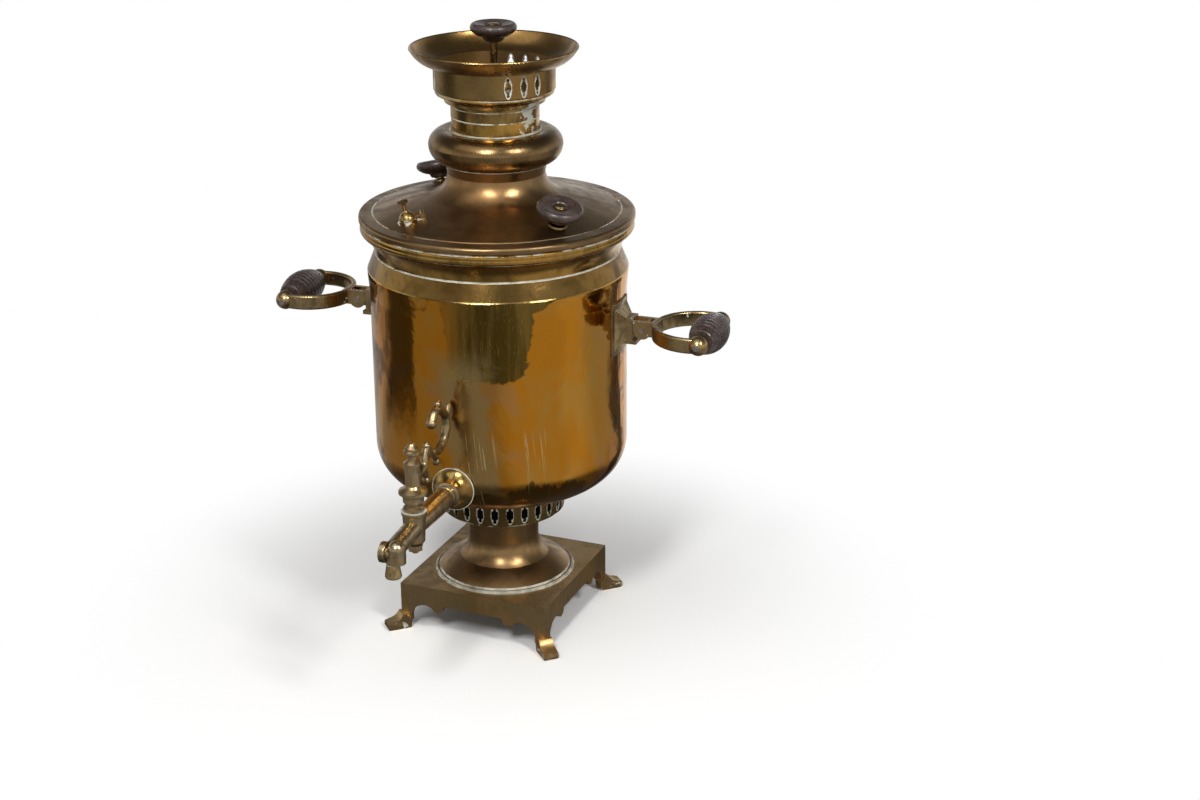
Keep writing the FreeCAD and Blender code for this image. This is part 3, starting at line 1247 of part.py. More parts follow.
room = primitive("Torus", "wall_inside", {"Radius1": "$body_radius - $corner_radius",
                                          "Radius2": "$corner_radius - $wall - 0.05"},
                 (0, 0, "$corner_height"))
keep(common("tap_gasket", cut("gasket_ring", gasket_disc, gasket_hole), room), "tap_gasket")

# Checks, then one file for each sub-part

doc.recompute()
faults = []
for thing in doc.Objects:
    if "Invalid" in thing.State or "Error" in thing.State:
        faults.append("%s: %s" % (thing.Name, thing.State))
for piece in PIECES:
    if piece.Shape.isNull() or not piece.Shape.isValid() or not piece.Shape.Solids:
        faults.append("%s: bad shape" % piece.Label)
if faults:
    raise RuntimeError("; ".join(faults))
os.makedirs("parts", exist_ok=True)
for piece in PIECES:
    piece.Shape.exportStep("parts/%s.step" % piece.Label)
print("%d sub-parts" % len(PIECES))
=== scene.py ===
"""Looks of the charcoal samovar: aged brass, dark turned wood, steel pins, a camera and a plain studio."""

import math

import bpy
from mathutils import Matrix, Vector


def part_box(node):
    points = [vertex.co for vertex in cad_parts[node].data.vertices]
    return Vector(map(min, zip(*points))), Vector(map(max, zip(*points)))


MM = 0.001


# Numbers and colours that vary over a surface

class Value:
    """A socket that carries a number or a colour. Arithmetic on a number adds Math nodes."""

    def __init__(self, shader, socket):
        self.shader = shader
        self.socket = socket

    def math(self, operation, *operands):
        return self.shader.add("ShaderNodeMath", {"operation": operation}, dict(enumerate(operands)))

    def __add__(self, other):
        return self.math("ADD", self, other)

    __radd__ = __add__

    def __sub__(self, other):
        return self.math("SUBTRACT", self, other)

    def __rsub__(self, other):
        return self.math("SUBTRACT", other, self)

    def __mul__(self, other):
        return self.math("MULTIPLY", self, other)

    __rmul__ = __mul__

    def __truediv__(self, other):
        return self.math("DIVIDE", self, other)

    def __pow__(self, other):
        return self.math("POWER", self, other)

    def __neg__(self):
        return self.math("MULTIPLY", self, -1.0)

    def __abs__(self):
        return self.math("ABSOLUTE", self)

    def root(self):
        return self.math("SQRT", self)

    def least(self, other):
        return self.math("MINIMUM", self, other)

    def most(self, other):
        return self.math("MAXIMUM", self, other)

    def wrap(self, period):
        """The value folded into one period centred on zero."""
        return self.math("WRAP", self, period / 2, -period / 2)

    def ease(self, low, high):
        """0 below low, 1 above high and smooth between them. High may be the smaller one."""
        if high < low:
            return 1 - self.ease(high, low)
        return self.shader.add("ShaderNodeMapRange", {"interpolation_type": "SMOOTHSTEP"},
                               {"Value": self, "From Min": low, "From Max": high})

    def band(self, middle, half, soft):
        """1 within half of the middle, and 0 beyond the soft edge."""
        return abs(self - middle).ease(half + soft, half)


class Shader:
    """A material or a world whose nodes are all made by one method."""

    def __init__(self, owner, coordinates="Object"):
        self.owner = owner
        owner.use_nodes = True
        self.tree = owner.node_tree
        self.tree.nodes.clear()
        self.place = self.add("ShaderNodeTexCoord", output=coordinates)
        self.x, self.y, self.z = (
            self.add("ShaderNodeSeparateXYZ", {}, {"Vector": self.place}, output=axis) for axis in "XYZ")

    def add(self, kind, settings=None, inputs=None, output=0):
        """Adds a node, sets it, feeds its sockets with values or links, and returns one of its outputs."""
        node = self.tree.nodes.new(kind)
        for name, setting in (settings or {}).items():
            setattr(node, name, setting)
        for name, value in (inputs or {}).items():
            socket = node.inputs[name]
            if isinstance(value, Value):
                self.tree.links.new(value.socket, socket)
            elif socket.type == "RGBA":
                socket.default_value = (*value, 1.0)
            else:
                socket.default_value = value
        return Value(self, node.outputs[output]) if len(node.outputs) else None

    def mix(self, amount, first, second):
        """A colour from first to second."""
        factor, colour_a, colour_b, result = 0, 6, 7, 2
        return self.add("ShaderNodeMix", {"data_type": "RGBA"},
                        {factor: amount, colour_a: first, colour_b: second}, output=result)

    def noise(self, size, detail=3.0, roughness=0.55, distortion=0.0, stretch=(1, 1, 1), shift=(0, 0, 0)):
        """Noise whose blotches are about this many millimetres across."""
        spot = self.add("ShaderNodeMapping", {"vector_type": "POINT"},
                        {"Vector": self.place, "Scale": stretch, "Location": shift})
        return self.add("ShaderNodeTexNoise", {}, {
            "Vector": spot, "Scale": 1 / (size * MM), "Detail": detail, "Roughness": roughness,
            "Distortion": distortion})

    def radius(self):
        """Distance from the body's axis, in metres."""
        return (self.x * self.x + self.y * self.y).root()

    def azimuth(self):
        """Angle about the body's axis, from the tap's side towards +X, in degrees."""
        return self.x.math("ARCTAN2", self.x, -self.y) * (180 / math.pi)

    def ray(self, kind):
        """1 for rays of this kind, such as those of the camera."""
        return self.add("ShaderNodeLightPath", output="Is %s Ray" % kind)

    def finish(self, bump, **sockets):
        """Feeds the surface shader and closes the material. The bump's height is in millimetres."""
        inputs = {name.replace("_", " ").title(): value for name, value in sockets.items()}
        inputs["Normal"] = self.add("ShaderNodeBump", {}, {"Strength": 1.0, "Distance": MM, "Height": bump})
        surface = self.add("ShaderNodeBsdfPrincipled", {}, inputs)
        self.add("ShaderNodeOutputMaterial", {}, {"Surface": surface})
        return self.owner


def material(name):
    return Shader(bpy.data.materials.new(name))


def brighter(colour, gain):
    """A colour times one gain, or times a gain for each part, at most 1."""
    gains = gain if isinstance(gain, tuple) else (gain,) * 3
    return tuple(min(1.0, part * share) for part, share in zip(colour, gains))


# Where the nodes of the frame end, in millimetres

def top(node):
    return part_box(node)[1][2] / MM


def foot(node):
    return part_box(node)[0][2] / MM


def rim(node):
    """Outer radius of a round node about the body's axis."""
    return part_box(node)[1][0] / MM


# Scale and scratches, which lie on several finishes

SCALE_PALE = (0.56, 0.54, 0.45)
SCALE_GREEN = (0.36, 0.36, 0.30)
SOOT = (0.012, 0.010, 0.009)


def scratches(shader):
    """Fine bright hairlines, mostly upright, where a wiping cloth went."""
    fine = shader.noise(5.0, 2.0, 0.5, 0.3, (9, 9, 0.35))
    area = shader.noise(60, 2.0, shift=(0.3, 0.1, 0.2))
    return fine.ease(0.64, 0.69) * area.ease(0.46, 0.6)


def ring_scale(*rings, level=()):
    """Scale along level seams: each ring is its height, its half width and how thick it lies. On surfaces
    that lie flat, the level rings give a radius in place of the height."""
    patchy = 0.6
    soft_edge = 1.2

    def mask(shader):
        total = 0.0
        for height, half, amount in rings:
            total = total + shader.z.band(height * MM, half * MM, half * soft_edge * MM) * amount
        for radius, half, amount in level:
            total = total + shader.radius().band(radius * MM, half * MM, half * soft_edge * MM) * amount
        drift = shader.noise(24, 3.0, 0.6).ease(0.3, 0.62)
        return total * (1 - patchy + drift * patchy)
    return mask


def side_scale(spread, low, high, *rings):
    """Thick scale on the right front of the chimney, where water ran down, over its seams."""
    side_azimuth = 66
    seams = ring_scale(*rings)

    def mask(shader):
        side = abs(shader.azimuth() - side_azimuth).ease(spread, spread * 0.4)
        tall = shader.z.ease((low - 2) * MM, low * MM) * shader.z.ease((high + 2) * MM, high * MM)
        cloud = shader.noise(9, 5.0, 0.7).ease(0.40, 0.58)
        return seams(shader) + side * tall * cloud * 1.15
    return mask


def slot_scale(pitch, middle, half_height, half_width, group=None):
    """Pale scale around each pierced slot of a band, and along the band's lower edge. The pitch is the
    angle between slots. A group gives the angle of its middle slot, and three slots go to each of three
    groups."""
    def mask(shader):
        angle = shader.azimuth() - (group or 0.0)
        if group:
            angle = angle.wrap(120.0)
        step = angle.wrap(pitch) * (math.pi / 180)
        across = step * shader.radius() / MM
        up = shader.z / MM - middle
        reach = ((across / half_width) ** 2 + (up / half_height) ** 2).root()
        outline = reach.ease(1.22, 1.06)
        if group:
            outline = outline * abs(angle).ease(pitch * 1.5, pitch * 1.45)
        drift = shader.noise(16, 3.0, 0.6).ease(0.34, 0.6)
        edge = shader.z.band((middle - half_height - 3.4) * MM, MM, MM)
        return outline * (0.45 + drift * 0.7) + edge * drift * 0.6
    return mask


def patch_scale(size, low, high, thick):
    """Loose patches of scale: those parts of a noise that lie between low and high, and above."""
    return lambda shader: shader.noise(size, 4.0, 0.65).ease(low, high) * thick


def plinth_scale(shader):
    """Scale around the foot's flange and down the toes."""
    plinth_top = top("base_plinth")
    flange = shader.radius().band((rim("foot_dome") + 0.6) * MM, 0.4 * MM, MM)
    flange = flange * shader.z.ease((plinth_top - 0.5) * MM, (plinth_top - 0.2) * MM)
    toes = shader.z.ease(0.014, 0.003) * shader.noise(7, 4.0, 0.6).ease(0.50, 0.66)
    drift = shader.noise(20, 4.0, 0.6).ease(0.35, 0.6)
    return flange * (0.5 + drift * 0.8) + toes * 0.7


def rosette_scale(shader):
    """Scale where the tap's rosette meets the body."""
    low, high = foot("tap_rosette"), top("tap_rosette")
    from_tap = (shader.x ** 2 + (shader.z - (low + high) / 2 * MM) ** 2).root()
    return from_tap.band((high - low) / 2 * MM, 0.3 * MM, 0.4 * MM)


def vent_scale(shader):
    """Scale low on the steam vent."""
    return shader.z.ease(0.4, 0.39) * shader.noise(5, 4.0).ease(0.42, 0.56)


def soot_inside(outer, inner, thick):
    """Soot on what lies within a radius of the axis: none at the outer one, full at the inner one."""
    return lambda shader: shader.radius().ease(outer * MM, inner * MM) * thick


def tube_soot(shader):
    """Soot inside the fire tube, and all over it down in the body."""
    return shader.radius().ease(0.0372, 0.0368).most(shader.z.ease(0.30, 0.29)) * 0.97


# Finishes

def brass(name, clean, aged, rough, blotch, scale=None, soot=None, depth=1.0, spots=0.5, speckle=0.5):
    """Aged brass: clean metal that turns to the aged colour in soft blotches, with dark freckles, smears,
    fine scratches, and pale mineral scale where the scale mask says. Rough holds the roughness of clean
    and of aged metal, blotch is in millimetres, and depth, spots and speckle are shares."""
    shader = material(name)
    cloud = shader.noise(blotch, 5.0, 0.6, 0.6)
    smear = shader.noise(blotch * 0.4, 3.0, 0.6, 1.2, (1, 1, 0.4), (0.2, 0.4, 0.1))
    freckle = shader.noise(2.2, 2.0, 0.6)
    dark = (cloud * 0.65 + smear * 0.35).ease(0.42, 0.62)
    colour = shader.mix(dark, clean, aged)
    warm = shader.noise(blotch * 1.7, 2.0, shift=(0.7, 0.2, 0.5)).ease(0.45, 0.7)
    colour = shader.mix(warm * 0.35, colour, brighter(clean, (1.15, 0.86, 0.6)))
    pits = freckle.ease(0.66, 0.74) * cloud.ease(0.35, 0.6) * spots
    colour = shader.mix(pits, colour, brighter(aged, 0.35))
    lines = scratches(shader)
    colour = shader.mix(lines * 0.5, colour, brighter(clean, 1.25))
    roughness = rough[0] + (rough[1] - rough[0]) * dark + pits * 0.25 + lines * 0.12 + smear * 0.05
    metallic = 1 - pits * 0.3
    height = freckle * 0.02 * speckle + cloud * 0.35 * depth - pits * 0.03
    if scale is not None:
        crust = scale(shader)
        grain = shader.noise(1.1, 3.0, 0.7)
        tint = shader.mix(shader.noise(9, 3.0).ease(0.4, 0.6), SCALE_PALE, SCALE_GREEN)
        cover = (crust * (0.45 + grain)).ease(0.38, 0.62)
        colour = shader.mix(cover, colour, tint)
        metallic = metallic - cover * 0.85
        roughness = roughness + cover * 0.5
        height = height + cover * 0.06 * grain
    if soot is not None:
        black = soot(shader)
        colour = shader.mix(black, colour, SOOT)
        metallic = metallic - black * 0.8
        roughness = roughness + black * 0.55
    return shader.finish(base_color=colour, metallic=metallic.most(0.0), roughness=roughness.least(0.95),
                         bump=height)


# The body: places in millimetres, and in degrees from the tap's side towards +X
BODY_WALL = 113.6
SHOULDER = 337.0
OLIVE_MIDDLE = 16.5
OLIVE_HALF = 19.5
OLIVE_TIP = 47.0
OLIVE_FOOT = 266.0
HIGHLIGHT_STREAK_MIDDLE = 6.0
SHORE = 168
SHORE_MIDDLE = 36
CAMERA_FACING_MIDDLE = 22
FAN_MIDDLE, FAN_HEIGHT = 10, 182
SIDE_FAN_MIDDLE, SIDE_FAN_HEIGHT = 36, 186
GALLERY_SEAM = 55.5


def olive_stain(angle, up, ragged):
    """A bib that hangs from the shoulder, with a wing along the shoulder's edge."""
    edge_across = (angle - OLIVE_MIDDLE) / OLIVE_HALF
    edge_up = (up - SHOULDER) / (SHOULDER - OLIVE_FOOT)
    reach = (edge_across ** 4 + edge_up ** 4) ** 0.25 + (ragged - 0.5) * 0.6
    wing = (up - SHOULDER + (OLIVE_TIP - angle) + (ragged - 0.5) * 16).ease(0, 1.5) * angle.ease(24, 28)
    bib = reach.ease(1.04, 0.98).most(wing)
    return bib * up.ease(SHOULDER + 1.5, SHOULDER + 0.5) * (0.3 + angle.ease(-4, 9) * 0.7)


def painted_highlight_streak(angle, up, ragged):
    """A paler, duller streak between the stain and the rosette: duller metal with a painted soft highlight
    of the front lamp.
    """
    side = abs(angle - HIGHLIGHT_STREAK_MIDDLE + (up - 220) * 0.05 + (ragged - 0.5) * 30).ease(17, 7)
    return side * up.ease(300, 268) * up.ease(146, 166)


def dark_reflections_and_tarnish(angle, up, ragged, tongue, veil):
    """Brown clouds: painted dark reflection at the foot of the wall, painted shade on both flanks as seen
    from the camera, and tarnish where it has crept towards the back.
    """
    shore = SHORE + (tongue - 0.5) * 60 + (ragged - 0.5) * 14
    # Painted dark reflection: brown low on the wall, where the rounded foot mirrors the dark floor near it
    low = (shore - up).ease(-1.5, 2.5) * abs(angle - SHORE_MIDDLE).ease(44, 26)
    low = low * (tongue + ragged * 0.6).ease(0.5, 0.8)
    # Painted shade: brown on both flanks, away from the side of the wall that faces the camera
    flank = abs(angle - CAMERA_FACING_MIDDLE).ease(52, 62) * veil.ease(0.5, 0.58)
    spread = veil.ease(0.62, 0.68) * abs(angle - 40).ease(30, 60)
    return (low * 0.85 + flank * 0.8 + spread * 0.7).least(1.0)


def gouges(shader, angle, up, ragged):
    """Two fans of long scratches that lean a little, under the stain and beside it."""
    across = angle * (math.pi / 180 * BODY_WALL)
    lean = across + up * 0.09
    along = shader.add("ShaderNodeCombineXYZ", {}, {"X": lean * 0.9, "Y": up * 0.012, "Z": 0.0})
    fan = shader.add("ShaderNodeTexNoise", {}, {"Vector": along, "Scale": 1.0, "Detail": 1.0})
    middle = abs(angle - FAN_MIDDLE).ease(11, 7) * up.band(FAN_HEIGHT, 34, 16)
    side = abs(angle - SIDE_FAN_MIDDLE).ease(9, 5) * up.band(SIDE_FAN_HEIGHT, 26, 14)
    return fan.ease(0.64, 0.68) * middle.most(side) * ragged.ease(0.38, 0.46)


def body_brass():
    """The body: orange-gold and glossy, with a broad olive stain under the shoulder, a pale dull streak
    behind the lever with a painted soft highlight, brown clouds of painted dark reflection and shade with
    some tarnish, long scratches, a duller shoulder cone, a painted highlight with wear along the shoulder's
    edge, and scale along its seams."""
    shader = material("body_brass")
    angle = shader.azimuth()
    up = shader.z / MM
    ragged = shader.noise(26, 5.0, 0.62, 0.4)
    tongue = shader.noise(60, 4.0, 0.6, 0.8, (1, 1, 0.5), (0.13, 0.31, 0.05))
    veil = shader.noise(34, 4.0, 0.6, 1.5, (1, 1, 0.45), (0.5, 0.2, 0.7))
    fine = shader.noise(1.6, 3.0, 0.65)
    colour = shader.mix(tongue.ease(0.38, 0.66), (0.62, 0.245, 0.018), (0.55, 0.30, 0.06))
    rosy = shader.noise(48, 3.0, 0.5, 0.6, shift=(0.9, 0.6, 0.3)).ease(0.52, 0.66)
    colour = shader.mix(rosy * 0.45, colour, (0.50, 0.27, 0.11))
    olive = olive_stain(angle, up, ragged)
    rows = shader.noise(30, 3.0, 0.6, 0.0, (2.6, 2.6, 0.2), (0.1, 0.8, 0.4))
    olive_tone = shader.mix(rows.ease(0.4, 0.62), (0.085, 0.060, 0.012), (0.20, 0.135, 0.035))
    olive_tone = shader.mix(fine.ease(0.62, 0.72) * 0.5, olive_tone, (0.04, 0.03, 0.01))
    colour = shader.mix(olive * 0.93, colour, olive_tone)
    # Painted highlight: the front lamp's soft highlight painted as a paler streak on duller metal
    pale = painted_highlight_streak(angle, up, ragged)
    colour = shader.mix(pale * 0.75, colour, (0.44, 0.325, 0.14))
    # Painted dark reflection and shade on the wall's foot and flanks, with tarnish towards the back
    brown = dark_reflections_and_tarnish(angle, up, ragged, tongue, veil)
    colour = shader.mix(brown, colour, (0.12, 0.062, 0.014))
    gouge = gouges(shader, angle, up, ragged)
    colour = shader.mix(gouge * 0.8, colour, (0.88, 0.68, 0.36))
    hair = scratches(shader)
    colour = shader.mix(hair * 0.35, colour, (0.75, 0.45, 0.12))
    pits = fine.ease(0.68, 0.75) * tongue.ease(0.4, 0.6)
    colour = shader.mix(pits * 0.45, colour, (0.10, 0.05, 0.015))
    low_seam = up.band(foot("body_shell") + 0.2, 0.8, 2.0)
    low_seam = low_seam * shader.radius().ease(GALLERY_SEAM * MM, (GALLERY_SEAM + 1) * MM)
    seam = up.band(top("body_shell"), 0.3, 0.6) * 0.7 + low_seam
    crust = (seam * (0.4 + fine)).ease(0.4, 0.62)
    colour = shader.mix(crust, colour, SCALE_PALE)
    cone = up.ease(SHOULDER - 0.4, SHOULDER + 0.4)
    cone_tone = shader.mix(ragged.ease(0.42, 0.6), (0.235, 0.150, 0.050), (0.135, 0.085, 0.030))
    colour = shader.mix(cone * (1 - crust) * 0.85, colour, cone_tone)
    # Painted highlight and wear: a bright line along the shoulder's edge
    shoulder_wear_and_highlight = up.band(SHOULDER, 0.2, 0.5) * ragged.ease(0.4, 0.55)
    colour = shader.mix(shoulder_wear_and_highlight * 0.6, colour, (0.80, 0.58, 0.25))
    roughness = 0.10 + cone * 0.1 + 0.09 * olive + 0.12 * pale + brown * 0.10 + hair * 0.12 + gouge * 0.2
    roughness = roughness + (ragged - 0.5).most(0.0) * 0.18 + crust * 0.5
    height = tongue * 0.9 + ragged * 0.12 + fine * 0.010 - gouge * 0.05 + olive * 0.01
    return shader.finish(base_color=colour, metallic=1 - crust * 0.8, roughness=roughness, bump=height)


def wood(name, stretch):
    """Turned dark wood: red-brown under worn black polish, with grain along the axis that is least
    stretched."""
    shader = material(name)
    grain = shader.noise(14, 5.0, 0.65, 0.5, stretch)
    pores = shader.noise(3.0, 3.0, 0.6, 0.0, stretch, (0.3, 0.5, 0.9))
    cloud = shader.noise(17, 3.0)
    colour = shader.mix(grain.ease(0.36, 0.66), (0.014, 0.009, 0.008), (0.062, 0.034, 0.027))
    colour = shader.mix(cloud.ease(0.5, 0.68) * 0.35, colour, (0.100, 0.068, 0.058))
    dust = shader.noise(1.4, 3.0, 0.7).ease(0.62, 0.74) * cloud.ease(0.35, 0.6)
    colour = shader.mix(dust * 0.35, colour, (0.26, 0.22, 0.20))
    cracks = pores.ease(0.60, 0.70)
    colour = shader.mix(cracks * 0.6, colour, (0.008, 0.005, 0.005))
    roughness = 0.30 + cloud * 0.22 + cracks * 0.25
    height = grain * 0.10 - cracks * 0.12 + dust * 0.02
    return shader.finish(base_color=colour, metallic=0.0, roughness=roughness, bump=height, coat_weight=0.25,
                         coat_roughness=0.22)


def dark_steel():
    """Dark steel with a bloom of rust."""
    shader = material("dark_steel")
    cloud = shader.noise(5, 4.0, 0.6)
    fine = shader.noise(0.8, 3.0, 0.7)
    rust = (cloud * 0.6 + fine * 0.4).ease(0.46, 0.58)
    colour = shader.mix(rust, (0.33, 0.31, 0.34), (0.11, 0.055, 0.035))
    return shader.finish(base_color=colour, metallic=1 - rust * 0.7, roughness=0.3 + rust * 0.4,
                         bump=fine * 0.05)


def grate_iron():
    """Rough cast iron dusted with ash."""
    shader = material("grate_iron")
    grain = shader.noise(1.2, 4.0, 0.7)
    ash = shader.noise(12, 4.0, 0.6).ease(0.45, 0.65)
    colour = shader.mix(ash * 0.7, (0.025, 0.022, 0.020), (0.28, 0.26, 0.24))
    return shader.finish(base_color=colour, metallic=0.25, roughness=0.85, bump=grain * 0.25)


def gasket_fibre():
    """Pressed fibre of the gasket."""
    shader = material("gasket_fibre")
    strand = shader.noise(2.5, 5.0, 0.7, 1.0)
    colour = shader.mix(strand, (0.05, 0.028, 0.018), (0.16, 0.10, 0.065))
    return shader.finish(base_color=colour, metallic=0.0, roughness=0.9, bump=strand * 0.15)


def vessel_finishes():
    """Brass of the body, the lid and the neck ring."""
    ring_top = top("neck_ring")
    lid = brass("lid_brass", (0.29, 0.185, 0.085), (0.190, 0.118, 0.055), (0.26, 0.42), 60, depth=0.7,
                scale=ring_scale((ring_top + 0.5, 0.25, 0.8), level=((rim("lid_shell") - 12, 0.35, 0.85),)))
    collar = brass("collar_brass", (0.235, 0.150, 0.065), (0.150, 0.094, 0.040), (0.22, 0.34), 46, spots=0.3,
                   scale=ring_scale((top("lid_shell") + 0.7, 0.4, 1.0),
                                    level=((39.4, 0.5, 1.0), (44.2, 0.3, 0.6))))
    ring = brass("ring_brass", (0.44, 0.265, 0.070), (0.23, 0.135, 0.038), (0.15, 0.28), 38,
                 scale=ring_scale((top("body_shell") + 0.6, 0.4, 1.1), (ring_top - 8.7, 0.25, 0.8),
                                  (ring_top - 0.2, 0.25, 0.8)))
    return {"body_shell": body_brass(), "neck_ring": ring, "lid_shell": lid, "lid_collar": collar}


def chimney_finishes(ochre, bronze, brown):
    """Brass of the fire tube, the crown and the cap. The crown's slots stand in three groups of three."""
    tube_top = top("fire_tube")
    neck_top = top("crown_neck")
    tube = brass("tube_brass", (0.60, 0.36, 0.085), (0.20, 0.12, 0.03), (0.12, 0.26), 24, soot=tube_soot,
                 scale=side_scale(24, tube_top - 12, tube_top, (tube_top, 0.3, 0.8),
                                  (top("lid_collar") + 0.25, 0.3, 0.9)))
    neck = brass("crown_neck_brass", ochre, (0.17, 0.10, 0.035), (0.14, 0.3), 26,
                 scale=side_scale(22, tube_top, tube_top + 16, (tube_top + 0.3, 0.3, 0.9),
                                  (tube_top + 9.6, 0.3, 0.8), (neck_top - 0.9, 0.3, 0.7)))
    crown = brass("crown_brass", (0.34, 0.220, 0.080), (0.185, 0.115, 0.045), (0.22, 0.34), 52, spots=0.25,
                  scale=slot_scale(15.5, neck_top + 10.4, 8.2, 3.0, group=50.0),
                  soot=soot_inside(51.6, 50.8, 0.5))
    cap = brass("cap_brass", bronze, brown, (0.2, 0.36), 30)
    return {"fire_tube": tube, "crown_neck": neck, "crown_spigot": neck, "crown_band": crown,
            "chimney_cap": cap, "cap_spindle": cap, "lid_spindle": cap}


def base_finishes(ochre):
    """Brass of the plinth, the foot and the gallery, which has 26 slots."""
    foot_rim = rim("foot_dome")
    foot_brass = brass("foot_brass", (0.36, 0.225, 0.100), (0.205, 0.125, 0.055), (0.28, 0.42), 42,
                       scale=ring_scale(level=((foot_rim - 2.9, 0.35, 1.1), (foot_rim - 0.2, 0.35, 1.2))))
    slot_middle = (foot("draft_gallery") + top("draft_gallery")) / 2
    gallery = brass("gallery_brass", ochre, (0.19, 0.12, 0.045), (0.16, 0.32), 28,
                    scale=slot_scale(360 / 26, slot_middle, 8.4, 3.2), soot=soot_inside(55.6, 55.0, 0.9))
    plinth = brass("plinth_brass", (0.60, 0.42, 0.19), (0.36, 0.245, 0.125), (0.36, 0.5), 36,
                   scale=plinth_scale, speckle=2.5)
    return {"foot_dome": foot_brass, "draft_gallery": gallery, "base_plinth": plinth}


def tap_finishes():
    """Brass of the rosette and the nozzle, and bronze of the tap's castings."""
    brown = (0.205, 0.155, 0.095)
    rosette = brass("rosette_brass", (0.50, 0.33, 0.10), (0.24, 0.15, 0.05), (0.16, 0.28), 16,
                    scale=rosette_scale)
    tap = brass("tap_bronze", (0.44, 0.345, 0.200), brown, (0.26, 0.42), 14, speckle=1.6,
                scale=ring_scale((top("tap_body") - 0.2, 0.35, 1.0)))
    nozzle = brass("nozzle_brass", (0.52, 0.38, 0.16), brown, (0.24, 0.4), 9,
                   scale=ring_scale((top("tap_nozzle") - 0.1, 0.8, 1.3)))
    lever = brass("lever_bronze", (0.36, 0.27, 0.14), (0.13, 0.095, 0.055), (0.26, 0.40), 12, speckle=1.2,
                  scale=patch_scale(5, 0.62, 0.70, 0.6))
    return {"tap_rosette": rosette, "tap_nozzle": nozzle, "tap_lever": lever, "tap_gasket": gasket_fibre(),
            **dict.fromkeys(("tap_body", "tap_key", "tap_washer", "tap_nut", "tap_locknut"), tap)}


def fitting_finishes(brown):
    """Handles, knobs, the steam vent and the small fasteners."""
    handle = brass("handle_brass", (0.42, 0.31, 0.155), (0.21, 0.150, 0.080), (0.24, 0.38), 18, speckle=1.4,
                   scale=patch_scale(9, 0.60, 0.68, 0.8))
    vent = brass("vent_brass", (0.45, 0.32, 0.13), brown, (0.2, 0.38), 6, scale=vent_scale)
    nut = brass("nut_brass", (0.33, 0.24, 0.12), brown, (0.25, 0.4), 5)
    knob = wood("knob_wood", (9, 9, 0.8))
    grip = wood("grip_wood", (9, 0.8, 9))
    steel = ("handle_pin", "grip_rod", "tie_stud", "tie_washer", "tie_nut", "vent_pin")
    return {"handle_bracket": handle, "handle_loop": handle, "handle_grip": grip, "lid_knob": knob,
            "cap_knob": knob, "lid_knob_nut": nut, "cap_knob_nut": nut, "vent_seat": vent, "vent_cap": vent,
            "grate": grate_iron(), **dict.fromkeys(steel, dark_steel())}


def finishes():
    """The material of each CAD node, by the start of the node's name."""
    ochre = (0.44, 0.29, 0.10)
    bronze = (0.30, 0.205, 0.085)
    brown = (0.115, 0.072, 0.028)
    return {**vessel_finishes(), **chimney_finishes(ochre, bronze, brown), **base_finishes(ochre),
            **tap_finishes(), **fitting_finishes(brown)}


def dress(frame):
    """Gives each CAD node its finish: the longest name that begins the node's own name."""
    looks = finishes()
    for name, node in frame["nodes"].items():
        key = max((part for part in looks if name.startswith(part)), key=len)
        node.data.materials.clear()
        node.data.materials.append(looks[key])


# Studio: metres and degrees

CAMERA_AZIMUTH = 22.2
CAMERA_DISTANCE = 1.7278
CAMERA_HEIGHT = 0.8731
CAMERA_PAN = 2.96
CAMERA_PITCH = 21.10
CAMERA_ROLL = -0.17
FOCAL_PIXELS = 2044.0
PHOTO_WIDTH = 1200.0
SENSOR = 36.0
LAMP_AIM = Vector((0, 0, 0.25))
FLOOR_HALF = 6.0


def around_axis(azimuth, distance, height):
    """A point at an angle from the tap's side towards +X."""
    turn = math.radians(azimuth)
    return Vector((distance * math.sin(turn), -distance * math.cos(turn), height))


def add_camera():
    """The camera at the photograph's viewing angle."""
    data = bpy.data.cameras.new("camera")
    data.sensor_width = SENSOR
    data.sensor_fit = "HORIZONTAL"
    data.lens = FOCAL_PIXELS / PHOTO_WIDTH * SENSOR
    data.clip_end = 50
    camera = bpy.data.objects.new("camera", data)
    heading = Matrix.Rotation(math.radians(CAMERA_AZIMUTH - CAMERA_PAN), 4, "Z")
    pitch = Matrix.Rotation(math.radians(90 - CAMERA_PITCH), 4, "X")
    roll = Matrix.Rotation(math.radians(CAMERA_ROLL), 4, "Z")
    place = Matrix.Translation(around_axis(CAMERA_AZIMUTH, CAMERA_DISTANCE, CAMERA_HEIGHT))
    camera.matrix_world = place @ heading @ pitch @ roll
    bpy.context.scene.collection.objects.link(camera)
    bpy.context.scene.camera = camera


def add_softbox(name, azimuth, distance, height, size, power):
    """A soft lamp that faces the middle of the object."""
    data = bpy.data.lights.new(name, "AREA")
    data.shape = "RECTANGLE"
    data.size, data.size_y = size
    data.energy = power
    lamp = bpy.data.objects.new(name, data)
    lamp.location = around_axis(azimuth, distance, height)
    lamp.rotation_euler = (LAMP_AIM - lamp.location).to_track_quat("-Z", "Y").to_euler()
    bpy.context.scene.collection.objects.link(lamp)


def mirrored_room(shader):
    """How bright the floor looks in the metal, by angle: a pale room behind the object and darker corners
    at the sides of the two front lights."""
    drift = shader.noise(260, 2.0, 0.5)
    angle = shader.azimuth() + (drift - 0.5) * 44
    reach = shader.radius() + (drift - 0.5) * 0.2
    dark_left = angle.band(-72, 14, 7) * reach.ease(0.58, 0.72)
    dark_right = angle.band(143, 7, 5)
    level = 0.30 + angle.band(62, 20, 30) * 0.18 + angle.band(108, 20, 20) * 0.10
    level = level + abs(angle).ease(140, 165) * 0.6 + angle.ease(-96, -108) * 0.16
    return level * (1 - dark_left * 0.82) * (1 - dark_right * 0.75) * (0.22 + reach.ease(0.26, 0.44) * 0.78)


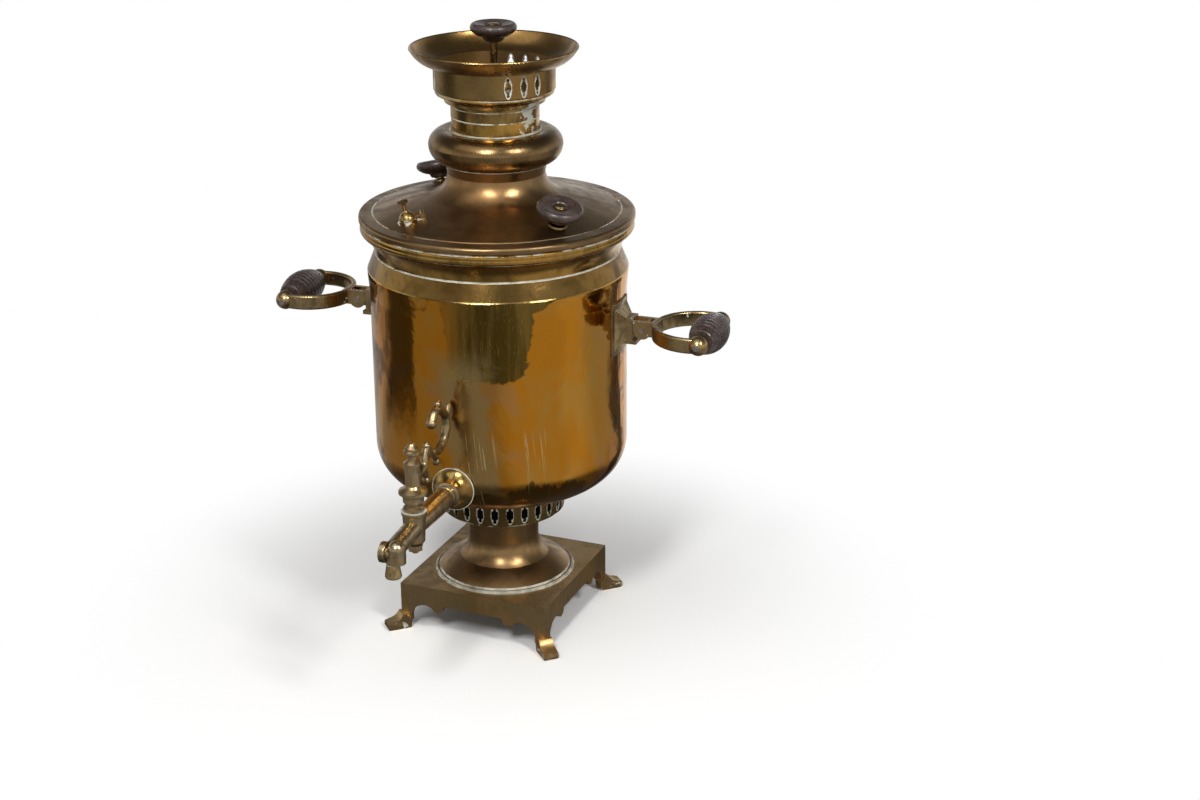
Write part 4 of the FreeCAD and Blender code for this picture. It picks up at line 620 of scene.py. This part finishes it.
def add_floor():
    """A pale floor. The camera sees it white away from the soft shadow."""
    half = FLOOR_HALF
    corners = [(-half, -half, 0), (half, -half, 0), (half, half, 0), (-half, half, 0)]
    mesh = bpy.data.meshes.new("floor")
    mesh.from_pydata(corners, [], [(0, 1, 2, 3)])
    floor = bpy.data.objects.new("floor", mesh)
    bpy.context.scene.collection.objects.link(floor)
    shader = material("floor_paper")
    mirrored = shader.add("ShaderNodeEmission", {}, {
        "Color": (1.0, 0.97, 0.93), "Strength": mirrored_room(shader)})
    paper = shader.add("ShaderNodeBsdfPrincipled", {}, {"Base Color": (0.86, 0.86, 0.85), "Roughness": 0.9})
    white = shader.add("ShaderNodeEmission", {}, {"Color": (1.0, 1.0, 1.0), "Strength": 1.0})
    past_shadow = shader.ray("Camera") * shader.radius().ease(0.16, 0.42)
    near = shader.add("ShaderNodeMixShader", {}, {0: past_shadow, 1: paper, 2: white})
    surface = shader.add("ShaderNodeMixShader", {}, {0: shader.ray("Glossy"), 1: near, 2: mirrored})
    shader.add("ShaderNodeOutputMaterial", {}, {"Surface": surface})
    mesh.materials.append(shader.owner)


def add_world():
    """A pale backdrop to the camera, soft light on the object, and to the metal a pale room with a darker
    ceiling."""
    soft_light = 0.42
    world = bpy.data.worlds.new("studio")
    bpy.context.scene.world = world
    shader = Shader(world, "Generated")
    seen = shader.ray("Camera").most(shader.ray("Transmission"))
    glossy = shader.ray("Glossy")
    room = 1 - shader.z.ease(0.10, 0.55) * 0.9
    strength = seen + (1 - seen) * (glossy * room + (1 - glossy) * soft_light)
    background = shader.add("ShaderNodeBackground", {}, {"Color": (0.8, 0.8, 0.8), "Strength": strength})
    shader.add("ShaderNodeOutputWorld", {}, {"Surface": background})


def add_studio():
    """The world, the floor, the camera and three softboxes."""
    add_world()
    add_floor()
    add_camera()
    add_softbox("softbox_front", 4, 1.6, 1.75, (0.34, 0.62), 26)
    add_softbox("softbox_right", 60, 1.7, 1.75, (0.34, 0.62), 24)
    add_softbox("softbox_top", -30, 1.2, 2.6, (2.4, 2.4), 16)
    bpy.context.scene.view_settings.view_transform = "Standard"


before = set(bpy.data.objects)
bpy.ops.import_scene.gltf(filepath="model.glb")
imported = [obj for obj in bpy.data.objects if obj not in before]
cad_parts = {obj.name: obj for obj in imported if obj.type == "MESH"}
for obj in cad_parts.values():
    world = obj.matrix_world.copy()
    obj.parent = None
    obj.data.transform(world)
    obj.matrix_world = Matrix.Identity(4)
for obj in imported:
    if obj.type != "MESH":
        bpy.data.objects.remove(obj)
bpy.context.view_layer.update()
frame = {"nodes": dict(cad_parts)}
dress(frame)
add_studio()
